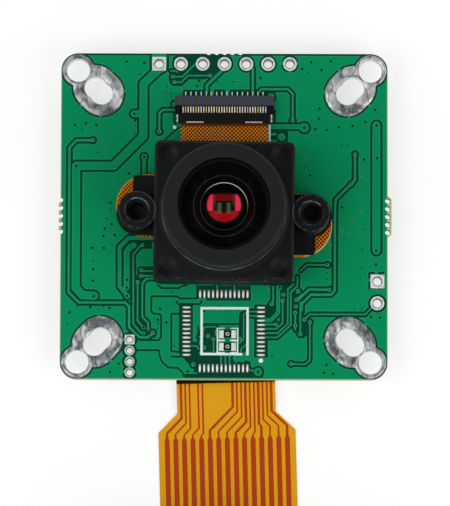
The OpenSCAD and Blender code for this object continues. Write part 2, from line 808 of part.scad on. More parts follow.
// The slot that one contact lies in.
module contact_slot(c, at_mouth) {
    w = c[10] / 2 + hair;
    tip = c[2] * 0.35 - 0.05;
    rear = c[2] + c[3] + hair;
    beam_top = c[7] + c[8] + 0.06 + c[11] + hair;
    block([-w, at_mouth ? -cut : tip, -cut], [w, at_mouth ? rear : connector_d(c) + cut, c[7] + hair]);
    block([-w, tip, c[7] - c[11] - 0.05], [w, rear, beam_top]);
    block([-w, c[2], c[7]], [w, rear, c[5] + cut]);
}

// A bar with a round edge that turns in the housing's cradles, and a lip to flip it by.
module connector_latch(c) {
    w = connector_w(c);
    reach = connector_d(c) - latch_y(c);
    translate([0, latch_y(c), c[5] - c[6]]) difference() {
        union() {
            rotate([0, 90, 0]) cylinder(r = c[6], h = w, center = true);
            block([-w / 2, 0, -c[6]], [w / 2, reach, c[6]]);
        }
        block([-w / 2 - cut, reach - 0.25 * c[4], -c[6] - cut], [w / 2 + cut, reach + cut, -0.3 * c[6]]);
    }
}

// Solder tabs at the two ends of a connector, each a foot with two prongs up the block's side.
module connector_tabs(c) {
    w = block_w(c) / 2;
    prong = 0.6 * c[15];
    for (s = [0, 1]) mirror([s, 0, 0]) {
        block([w, 0.1 * c[2], 0], [w + prong + 0.1, 0.85 * c[2], c[11]]);
        for (span = [[0.1, 0.32], [0.48, 0.85]])
            block([w, span[0] * c[2], 0], [w + prong, span[1] * c[2], 0.8 * c[5]]);
    }
}

module front_place() {
    translate([0, front_mouth, 0]) children();
}

module rear_place() {
    on_back() translate([0, rear_mouth, 0]) children();
}

module front_connector_housing() {
    color("#1b1b1d") front_place() connector_housing(front_conn);
}

module front_connector_contacts() {
    color("gold") front_place() connector_contacts(front_conn);
}

module front_connector_tabs() {
    color("silver") front_place() connector_tabs(front_conn);
}

module front_connector_latch() {
    color("#3c3d42") front_place() connector_latch(front_conn);
}

module rear_connector_housing() {
    color("#d8d2c0") rear_place() connector_housing(rear_conn);
}

module rear_connector_contacts() {
    color("gold") rear_place() connector_contacts(rear_conn);
}

module rear_connector_tabs() {
    color("silver") rear_place() connector_tabs(rear_conn);
}

module rear_connector_latch() {
    color("#1b1b1d") rear_place() connector_latch(rear_conn);
}

// ---------------------------------------------------------------- components on the back

processor_at = [0, 4];
oscillator_at = [-7.2, 8.4];

module processor() {
    color("#222224") on_back() translate(processor_at)
        linear_extrude(processor_h) rounded(processor_w, processor_w, 0.2);
}

// A metal can on a ceramic base.
module oscillator() {
    color("silver") on_back() translate(oscillator_at) {
        linear_extrude(0.3) square([3.2, 2.5], center = true);
        linear_extrude(0.9) rounded(3, 2.3, 0.3);
    }
}

regulator_size = [2.9, 1.6, 1.1];
regulators = [[7.4, 4.6], [7.4, 8.6], [-7.4, 4.2]];

module regulator_bodies() {
    color("#222224") on_back() at_each(regulators) translate([0, 0, 0.1 + regulator_size[2] / 2])
        cube(regulator_size, center = true);
}

// Three gull-wing leads on one side of each regulator and two on the other.
module regulator_leads() {
    lead_w = 0.4;
    reach = regulator_size[1] / 2;
    leads = [[1, -0.95], [1, 0], [1, 0.95], [-1, -0.95], [-1, 0.95]];
    color("silver") on_back() at_each(regulators) for (s = leads)
        mirror([0, s[0] < 0 ? 1 : 0, 0]) translate([s[1] - lead_w / 2, 0, 0]) {
            block([0, reach, 0.5], [lead_w, reach + 0.25, 0.65]);
            block([0, reach + 0.15, 0], [lead_w, reach + 0.3, 0.65]);
            block([0, reach + 0.15, 0], [lead_w, reach + 0.6, 0.15]);
        }
}

// The inductors stand between the screws and the upper corner pads.
inductor_at = [14, 5.4];
inductors = [for (x = [-1, 1]) [x * inductor_at[0], inductor_at[1]]];

module power_inductors() {
    color("#3a3a3c") on_back() at_each(inductors) {
        linear_extrude(0.4) rounded(inductor_w, inductor_w, 0.4);
        linear_extrude(rear_conn_h - 0.3) circle(d = inductor_w * 0.75);
        translate([0, 0, rear_conn_h - 0.4]) linear_extrude(0.4) rounded(inductor_w, inductor_w, 0.4);
    }
}

// Chip capacitors, as [x, y, turn].
capacitor_size = [1, 0.5, 0.5];
capacitors = [
    [5.2, 1.6, 90], [5.2, 6.4, 90], [-4.8, 1.8, 90], [-4.8, 6.2, 90],
    [-2.4, 8.9, 0], [0, 8.9, 0], [2.4, 8.9, 0], [9.2, 11.4, 0], [-9.2, 11.4, 0],
    [10.4, 4.6, 90], [10.4, 7.8, 90], [-10.6, 4.2, 90], [-10.4, 8.4, 90],
    [-2.4, -1.1, 0], [0, -1.1, 0], [2.4, -1.1, 0],
    [-5.6, -8.6, 0], [-2.8, -8.6, 0], [2.8, -8.6, 0], [5.6, -8.6, 0],
    [13.6, -4.4, 90], [-13.6, -4.4, 90], [13.6, -8, 90], [-13.6, -8, 90]];

module at_capacitors() {
    on_back() for (c = capacitors) translate([c[0], c[1], 0]) rotate(c[2]) children();
}

module capacitor_bodies() {
    end = 0.25;
    color("#b08d5f") at_capacitors() translate([0, 0, capacitor_size[2] / 2])
        cube(capacitor_size - [2 * end, 0.02, 0.02], center = true);
}

module capacitor_terminals() {
    end = 0.25;
    color("silver") at_capacitors() for (x = [-1, 1])
        translate([x * (capacitor_size[0] - end) / 2, 0, capacitor_size[2] / 2])
            cube([end, capacitor_size[1], capacitor_size[2]], center = true);
}

// ---------------------------------------------------------------- ribbon cable

// Y runs back from the mouth to the free end, and z = 0 is the surface that the part stands on.
module ribbon_place() {
    translate([ribbon_x, rear_mouth, table_z]) rotate(ribbon_skew + 180) children();
}

function ribbon_half_width(share) = (ribbon_narrow_w + share * (ribbon_w - ribbon_narrow_w)) / 2;

function ribbon_ring(station) = let (
    w = ribbon_half_width(station[2]),
    z = station[1] * ribbon_lift
) [[-w, station[0], z], [w, station[0], z], [w, station[0], z + ribbon_t], [-w, station[0], z + ribbon_t]];

module ribbon_cable() {
    points = [for (s = ribbon_route) each ribbon_ring(s)];
    last = len(ribbon_route) - 1;
    sides = [for (i = [0:last - 1], k = [0:3])
        [4 * i + k, 4 * i + (k + 1) % 4, 4 * i + 4 + (k + 1) % 4, 4 * i + 4 + k]];
    color("orange") ribbon_place() polyhedron(
        points, concat([[3, 2, 1, 0]], sides, [[for (k = [0:3]) 4 * last + k]]), convexity = 4);
}

// Stiffener on the ribbon's upper face, as far as the board's edge.
module ribbon_connector_stiffener() {
    color("#151515") ribbon_place() block(
        [-ribbon_narrow_w / 2, ribbon_route[0][0], ribbon_lift + ribbon_t],
        [ribbon_narrow_w / 2, rear_inset + 0.25, ribbon_lift + ribbon_t + ribbon_stiffener_t]);
}

// The rest of the ribbon, wound into a loose roll that stands on the surface.
module ribbon_roll() {
    color("orange") ribbon_place() difference() {
        translate([0, roll_y, roll_r]) rotate([0, 90, 0]) rotate_extrude()
            translate([roll_inner_r, -ribbon_w / 2]) square([roll_r - roll_inner_r, ribbon_w]);
        block([-ribbon_w, roll_y - roll_r, -cut], [ribbon_w, roll_y, ribbon_t]);
    }
}

// Stiffener under the contacts at the free end, inside the roll.
module ribbon_end_stiffener() {
    depth = sqrt(pow(roll_inner_r - slip, 2) - pow(end_plate[0] / 2, 2));
    color("#1d4f9c") ribbon_place() translate([0, roll_y, roll_r]) rotate([end_plate_turn, 0, 0])
        block([-ribbon_w / 2, -end_plate[0] / 2, depth - end_plate[1]],
              [ribbon_w / 2, end_plate[0] / 2, depth]);
}

pcb();
mounting_pads();
header_holes();
fine_header_holes();
two_pin_holes();
chip_lands();
board_legend();
resistor_bodies();
resistor_terminals();
sensor_flex();
flex_stiffener();
image_sensor();
sensor_cover_glass();
lens_holder();
holder_screws();
infrared_filter();
lens_barrel();
front_glass();
front_retaining_ring();
front_spacer();
second_glass();
aperture_stop();
middle_glass();
middle_spacer();
rear_glass();
rear_retaining_ring();
front_connector_housing();
front_connector_contacts();
front_connector_tabs();
front_connector_latch();
rear_connector_housing();
rear_connector_contacts();
rear_connector_tabs();
rear_connector_latch();
processor();
oscillator();
regulator_bodies();
regulator_leads();
power_inductors();
capacitor_bodies();
capacitor_terminals();
ribbon_cable();
ribbon_connector_stiffener();
ribbon_roll();
ribbon_end_stiffener();
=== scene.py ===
"""Looks of a board camera: mask and tracks, solder, flexible circuit, ribbon cable, holder and lens."""

import math

import bmesh
import bpy
import numpy as np
from mathutils import Euler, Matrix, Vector, noise
from mathutils.geometry import delaunay_2d_cdt


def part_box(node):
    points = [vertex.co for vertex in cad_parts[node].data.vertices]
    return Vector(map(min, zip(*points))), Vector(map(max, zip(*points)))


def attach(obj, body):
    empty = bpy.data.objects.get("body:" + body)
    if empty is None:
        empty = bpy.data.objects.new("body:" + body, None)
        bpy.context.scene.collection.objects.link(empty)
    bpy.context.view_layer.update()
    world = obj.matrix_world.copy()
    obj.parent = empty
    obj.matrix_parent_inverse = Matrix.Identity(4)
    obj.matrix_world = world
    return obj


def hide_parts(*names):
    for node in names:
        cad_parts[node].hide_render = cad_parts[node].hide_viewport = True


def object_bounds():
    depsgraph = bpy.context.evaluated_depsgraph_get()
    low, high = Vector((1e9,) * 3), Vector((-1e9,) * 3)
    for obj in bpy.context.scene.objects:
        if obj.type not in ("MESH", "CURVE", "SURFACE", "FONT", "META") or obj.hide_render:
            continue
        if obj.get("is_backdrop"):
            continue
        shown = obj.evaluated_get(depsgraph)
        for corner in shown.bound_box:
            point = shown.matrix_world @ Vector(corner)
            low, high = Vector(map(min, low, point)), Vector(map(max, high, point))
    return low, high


bl_info = {
    "name": "Board camera looks",
    "version": (1, 0, 0),
    "blender": (4, 5, 0),
    "location": "View3D > Sidebar > Board camera",
    "description": "Dresses the packed camera module: tracks, solder, ribbon, holder and lens",
    "category": "Object",
}

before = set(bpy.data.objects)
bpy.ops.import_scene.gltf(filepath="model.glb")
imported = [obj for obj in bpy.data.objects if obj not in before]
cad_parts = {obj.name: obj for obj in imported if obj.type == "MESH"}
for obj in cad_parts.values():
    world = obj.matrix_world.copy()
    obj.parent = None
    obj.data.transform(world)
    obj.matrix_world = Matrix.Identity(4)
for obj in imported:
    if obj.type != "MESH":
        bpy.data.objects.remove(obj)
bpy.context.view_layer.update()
MM = 0.001


# ---------------------------------------------------------------- node trees

def operator(operation, reflected=False):
    """An arithmetic operator of Value, which adds a Math node."""
    def act(self, other):
        first, second = (self.graph.number(other), self) if reflected else (self, other)
        return first.maths(operation, second)
    return act


class Value:
    """A socket in a node tree. Arithmetic on it adds Math nodes."""

    def __init__(self, graph, socket):
        self.graph, self.socket = graph, socket

    def maths(self, operation, *others):
        node = self.graph.add("ShaderNodeMath", {"operation": operation}, dict(enumerate((self, *others))))
        return Value(self.graph, node.outputs[0])

    __add__ = __radd__ = operator("ADD")
    __mul__ = __rmul__ = operator("MULTIPLY")
    __sub__, __rsub__ = operator("SUBTRACT"), operator("SUBTRACT", reflected=True)
    __truediv__, __rtruediv__ = operator("DIVIDE"), operator("DIVIDE", reflected=True)
    __pow__, __mod__ = operator("POWER"), operator("FLOORED_MODULO")
    __lt__, __gt__ = operator("LESS_THAN"), operator("GREATER_THAN")
    least, most = operator("MINIMUM"), operator("MAXIMUM")

    def __abs__(self):
        return self.maths("ABSOLUTE")

    def ease(self, low, high):
        """0 at low, 1 at high and smooth between them. low may be above high."""
        node = self.graph.add("ShaderNodeMapRange", {"interpolation_type": "SMOOTHSTEP"},
                              {"Value": self, "From Min": low, "From Max": high})
        return Value(self.graph, node.outputs["Result"])


def off_axis(x, y):
    """How far a place lies from an axis at 0."""
    return (x * x + y * y) ** 0.5


class Graph:
    """Adds nodes to a material's, a world's or a Geometry Nodes tree."""

    def __init__(self, tree):
        self.tree = tree

    def plug(self, place, item):
        """Links a Value or a socket to an input, or sets the input to a plain value."""
        if isinstance(item, Value):
            item = item.socket
        if isinstance(item, bpy.types.NodeSocket):
            self.tree.links.new(item, place)
        else:
            place.default_value = item

    def add(self, kind, settings=None, inputs=None):
        """A node of that type: its settings are set first, then its sockets, by name or number."""
        node = self.tree.nodes.new(kind)
        for name, setting in (settings or {}).items():
            setattr(node, name, setting)
        for name, item in (inputs or {}).items():
            self.plug(node.inputs[name], item)
        return node

    def number(self, value):
        """A Value as it is, or a plain number as a Value."""
        if isinstance(value, Value):
            return value
        node = self.add("ShaderNodeValue")
        node.outputs[0].default_value = value
        return Value(self, node.outputs[0])


class Finish(Graph):
    """A material with one Principled shader. Its places and sizes are in millimetres."""

    def __init__(self, name, colour, **look):
        self.material = bpy.data.materials.new(name)
        self.material.use_nodes = True
        self.material.diffuse_color = srgb(colour)
        super().__init__(self.material.node_tree)
        self.shader = self.tree.nodes["Principled BSDF"]
        self.set("Base Color", srgb(colour))
        for socket, value in look.items():
            self.set(socket.replace("_", " "), value)

    def set(self, socket, value):
        self.plug(self.shader.inputs[socket], value)

    def coords(self, kind):
        """X, Y and Z of one kind of texture coordinates."""
        coords = self.add("ShaderNodeTexCoord")
        split = self.add("ShaderNodeSeparateXYZ", inputs={0: coords.outputs[kind]})
        return [Value(self, part) for part in split.outputs]

    def place(self):
        """X, Y and Z on the object."""
        return [part * (1 / MM) for part in self.coords("Object")]

    def upward(self):
        """How far the surface faces up, from -1 to 1."""
        return self.coords("Normal")[2]

    def attribute(self, name):
        node = self.add("ShaderNodeAttribute", {"attribute_name": name})
        return Value(self, node.outputs["Fac"])

    def speckle(self, size_mm, detail=3, stretch=(1, 1, 1)):
        """Noise of about that feature size."""
        coords = self.add("ShaderNodeTexCoord")
        mapping = self.add("ShaderNodeMapping", inputs={0: coords.outputs["Object"], "Scale": stretch})
        node = self.add("ShaderNodeTexNoise", inputs={
            "Vector": mapping.outputs[0], "Scale": 1 / MM / size_mm, "Detail": detail})
        return Value(self, node.outputs["Fac"])

    def blend(self, amount, first, second):
        """From the first colour to the second, each a Value or three numbers from 0 to 255."""
        node = self.add("ShaderNodeMix", {"data_type": "RGBA", "clamp_factor": True}, {0: amount})
        for place, colour in zip(node.inputs[6:8], (first, second)):
            self.plug(place, colour if isinstance(colour, Value) else srgb(colour))
        return Value(self, node.outputs[2])

    def bump(self, height, depth_mm):
        node = self.add("ShaderNodeBump", inputs={"Height": height, "Distance": depth_mm * MM, "Strength": 1})
        self.set("Normal", node.outputs[0])

    def roughen(self, low, spread, size_mm):
        """Roughness from low to low + spread, in patches of that size."""
        self.set("Roughness", low + spread * self.speckle(size_mm))

    def dress(self, *nodes):
        """Gives CAD nodes this material."""
        for node in nodes:
            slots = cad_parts[node].data.materials
            slots.clear()
            slots.append(self.material)


def srgb(colour):
    """A colour written as 0 to 255 values, as the shader wants it."""
    def linear(part):
        part /= 255
        return part / 12.92 if part <= 0.04045 else ((part + 0.055) / 1.055) ** 2.4
    return (*[linear(part) for part in colour], 1.0)


def shown(colour):
    """A colour property's value, which is linear, as 0 to 255 values."""
    def coded(part):
        return 255 * (12.92 * part if part <= 0.0031308 else 1.055 * part ** (1 / 2.4) - 0.055)
    return tuple(coded(part) for part in colour)


# ---------------------------------------------------------------- pieces

def link(name, mesh, finish, body):
    """A finished mesh as a piece that rides on a body."""
    mesh.materials.clear()
    mesh.materials.append(finish.material)
    piece = bpy.data.objects.new(name, mesh)
    bpy.context.scene.collection.objects.link(piece)
    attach(piece, body)
    return piece


def from_lists(name, points_mm, faces):
    mesh = bpy.data.meshes.new(name)
    mesh.from_pydata([Vector(p) * MM for p in points_mm], [], faces)
    mesh.update()
    return mesh


def store(mesh, name, numbers):
    """Keeps a number for each vertex, for a material to read."""
    layer = mesh.attributes.new(name, "FLOAT", "POINT")
    layer.data.foreach_set("value", np.asarray(numbers, np.float32))


def face_outward(mesh):
    tidy = bmesh.new()
    tidy.from_mesh(mesh)
    bmesh.ops.recalc_face_normals(tidy, faces=tidy.faces)
    tidy.to_mesh(mesh)
    tidy.free()


def smooth(mesh):
    mesh.polygons.foreach_set("use_smooth", [True] * len(mesh.polygons))


def plain_mesh(owner, name):
    """What an object's modifiers make, as a plain mesh. The object is removed."""
    evaluated = owner.evaluated_get(bpy.context.evaluated_depsgraph_get())
    mesh = bpy.data.meshes.new_from_object(evaluated)
    mesh.name = name
    source = owner.data
    bpy.data.objects.remove(owner)
    if source.users == 0:
        bpy.data.meshes.remove(source)
    return mesh


def scattered(name, places, sizes, turns, shape, size_mm, finish):
    """One shape at each place, made with Geometry Nodes, as a plain mesh. shape adds its nodes and gives a
    socket. sizes and turns, in degrees about Z, have an item for each place."""
    seeds = bpy.data.meshes.new(name + "_places")
    seeds.from_pydata([Vector(p) * MM for p in places], [], [])
    store(seeds, "size", sizes)
    store(seeds, "turn", np.radians(turns))
    owner = bpy.data.objects.new(name, seeds)
    bpy.context.scene.collection.objects.link(owner)
    tree = bpy.data.node_groups.new(name, "GeometryNodeTree")
    tree.interface.new_socket("Geometry", in_out="INPUT", socket_type="NodeSocketGeometry")
    length = tree.interface.new_socket("Size", in_out="INPUT", socket_type="NodeSocketFloat")
    tree.interface.new_socket("Geometry", in_out="OUTPUT", socket_type="NodeSocketGeometry")
    graph = Graph(tree)
    given = graph.add("NodeGroupInput")
    size, turn = (graph.add("GeometryNodeInputNamedAttribute", {"data_type": "FLOAT"}, {"Name": kind})
                  for kind in ("size", "turn"))
    spin = graph.add("ShaderNodeCombineXYZ", inputs={"Z": turn.outputs[0]})
    spread = graph.add("GeometryNodeInstanceOnPoints", inputs={
        "Points": given.outputs["Geometry"], "Instance": shape(graph, Value(graph, given.outputs["Size"])),
        "Rotation": spin.outputs[0], "Scale": size.outputs[0]})
    real = graph.add("GeometryNodeRealizeInstances", inputs={0: spread.outputs[0]})
    coat = graph.add("GeometryNodeSetMaterial", inputs={"Geometry": real.outputs[0],
                                                        "Material": finish.material})
    graph.plug(graph.add("NodeGroupOutput").inputs[0], coat.outputs[0])
    modifier = owner.modifiers.new(name, "NODES")
    modifier.node_group = tree
    modifier[length.identifier] = size_mm * MM
    return plain_mesh(owner, name)


# ---------------------------------------------------------------- settings

def colour_setting(name, description, value):
    return bpy.props.FloatVectorProperty(name=name, description=description, subtype="COLOR", size=3,
                                         min=0, max=1, default=srgb(value)[:3])


def length_setting(name, description, value_mm):
    return bpy.props.FloatProperty(name=name, description=description, unit="LENGTH", default=value_mm * MM,
                                   precision=5, min=0)


class BoardSettings(bpy.types.PropertyGroup):
    mask: colour_setting("Solder mask", "Colour of the solder mask over copper", (3, 146, 92))
    groove: colour_setting("Grooves", "Colour of the mask where there is no copper under it", (2, 66, 48))
    laminate: colour_setting("Laminate", "Colour of the board's cut edges", (176, 168, 92))
    tin: colour_setting("Tin", "Colour of solder and tinned copper", (222, 223, 226))
    channel: length_setting("Channel", "Width of the gap between a track and the copper round it", 0.3)
    copper: length_setting("Copper height", "Height of the mask over copper", 0.035)
    bare: length_setting("Bare height", "Height of the mask where there is no copper", 0.008)


class FlexSettings(bpy.types.PropertyGroup):
    film: colour_setting("Flex film", "Colour of the sensor's flexible circuit", (240, 142, 26))
    # this colour is also the painted shadow at the end of the tail, under the connector's lip
    dark: colour_setting("Flex gaps", "Colour of the gaps in its hatched copper", (34, 12, 6))
    pitch: length_setting("Hatch", "Distance between two lines of the hatched copper", 0.45)


class RibbonSettings(bpy.types.PropertyGroup):
    film: colour_setting("Ribbon film", "Colour of the ribbon's film between conductors", (224, 160, 3))
    conductor: colour_setting("Conductors", "Colour of the ribbon over its conductors", (178, 62, 6))
    thickness: length_setting("Thickness", "Thickness of the ribbon", 0.15)
    length: length_setting("Length", "Length of the ribbon outside its connector", 150)
    bar: length_setting("Bar width", "Width of a conductor in the wide part", 0.64)


class LensSettings(bpy.types.PropertyGroup):
    coating: colour_setting("Coating", "Colour that the inner glass reflects", (168, 6, 14))
    barrel: colour_setting("Barrel", "Colour of the lens barrel", (30, 31, 33))
    holder: colour_setting("Holder", "Colour of the moulded holder", (34, 35, 37))


class StageSettings(bpy.types.PropertyGroup):
    floor: colour_setting("Floor", "Colour of the floor", (250, 250, 250))
    elevation: bpy.props.FloatProperty(name="Elevation", description="Height of the camera above the horizon",
                                       subtype="ANGLE", default=math.radians(85.2))
    roll: bpy.props.FloatProperty(name="Roll", description="Turn of the camera about its own axis",
                                  subtype="ANGLE", default=math.radians(0.17))
    distance: length_setting("Distance", "From the camera to the board", 505)
    key: bpy.props.FloatProperty(name="Key light", description="Share of the light from the large soft lamp",
                                 default=0.5, min=0)
    sky: bpy.props.FloatProperty(name="Sky", description="Share of the light from all round",
                                 default=0.5, min=0)


SETTINGS = {"board": BoardSettings, "flex": FlexSettings, "ribbon": RibbonSettings, "lens": LensSettings,
            "stage": StageSettings}


def settings(name):
    return getattr(bpy.context.scene, "board_camera_" + name)


# ---------------------------------------------------------------- stage

class StageOperator(bpy.types.Operator):
    """Makes the camera, the floor, the lamps and the world"""
    bl_idname = "board_camera.stage"
    bl_label = "Stage"

    def execute(self, context):
        look = settings("stage")
        context.scene.view_settings.view_transform = "Standard"
        self.camera(context.scene, look)
        self.floor(context.scene, look)
        self.sky(context.scene, look)
        for name, place, size, share in (("key", (-0.30, -0.12, 0.48), 0.42, 0.60),
                                         ("fill", (0.36, -0.26, 0.42), 0.36, 0.40)):
            self.lamp(context.scene, name, Vector(place), size, look.key * share)
        return {"FINISHED"}

    def camera(self, scene, look):
        sensor_mm, shown_mm, target_mm = 36, 58.72, Vector((0.12, -4.30, 0))
        camera = bpy.data.cameras.new("camera")
        camera.sensor_width = sensor_mm
        camera.clip_start, camera.clip_end = 0.01, 10
        # the frame's long side takes in this much of the board's plane
        camera.lens = sensor_mm * look.distance / (shown_mm * MM)
        eye = bpy.data.objects.new("camera", camera)
        scene.collection.objects.link(eye)
        back = Vector((0, -math.cos(look.elevation), math.sin(look.elevation)))
        eye.location = target_mm * MM + back * look.distance
        aim = (-back).to_track_quat("-Z", "Y")
        eye.rotation_euler = (aim @ Euler((0, 0, look.roll)).to_quaternion()).to_euler()
        scene.camera = eye

    def floor(self, scene, look):
        """White paper just under the part. Where the camera sees it, it glows a little and stays white."""
        reach, gap_mm, glow_strength, matt_grey = 3, 0.02, 0.67, (166, 166, 166)
        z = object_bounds()[0].z - gap_mm * MM
        mesh = bpy.data.meshes.new("floor")
        mesh.from_pydata([(x * reach, y * reach, z) for x, y in ((-1, -1), (1, -1), (1, 1), (-1, 1))],
                         [], [(0, 1, 2, 3)])
        floor = bpy.data.objects.new("floor", mesh)
        scene.collection.objects.link(floor)
        paper = Finish("white_paper", shown(look.floor), Roughness=0.9, Specular_IOR_Level=0.1)
        rays = paper.add("ShaderNodeLightPath")
        seen, mirrored, through = (Value(paper, rays.outputs[f"Is {kind} Ray"])
                                   for kind in ("Camera", "Glossy", "Transmission"))
        glow = paper.add("ShaderNodeEmission", inputs={"Color": (1, 1, 1, 1), "Strength": glow_strength})
        matt = paper.add("ShaderNodeBsdfDiffuse", inputs={"Color": srgb(matt_grey)})
        both = paper.add("ShaderNodeAddShader", inputs={0: matt.outputs[0], 1: glow.outputs[0]})
        mix = paper.add("ShaderNodeMixShader", inputs={
            0: (seen + mirrored + through).least(1), 1: paper.shader.outputs[0], 2: both.outputs[0]})
        paper.plug(paper.tree.nodes["Material Output"].inputs["Surface"], mix.outputs[0])
        mesh.materials.append(paper.material)
        floor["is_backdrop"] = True

    def sky(self, scene, look):
        """White light from all round, weaker from overhead."""
        world = bpy.data.worlds.new("sky")
        world.use_nodes = True
        sky = Graph(world.node_tree)
        coords = sky.add("ShaderNodeTexCoord")
        split = sky.add("ShaderNodeSeparateXYZ", inputs={0: coords.outputs["Generated"]})
        overhead = Value(sky, split.outputs["Z"]).ease(0.55, 0.95)
        background = sky.tree.nodes["Background"]
        sky.plug(background.inputs["Strength"], look.sky * (1.25 - 0.75 * overhead))
        sky.plug(background.inputs["Color"], (1, 1, 1, 1))
        scene.world = world

    def lamp(self, scene, name, spot, size, share):
        """A square lamp that faces the origin and lights a white sheet there by that share of full white."""
        lamp = bpy.data.lights.new(name, "AREA")
        lamp.shape, lamp.size = "SQUARE", size
        lamp.energy = share * math.pi ** 2 * spot.length_squared / (spot.z / spot.length)
        stand = bpy.data.objects.new(name, lamp)
        scene.collection.objects.link(stand)
        stand.location = spot
        stand.rotation_euler = (-spot).to_track_quat("-Z", "Y").to_euler()


# ---------------------------------------------------------------- solder mask with the copper's relief

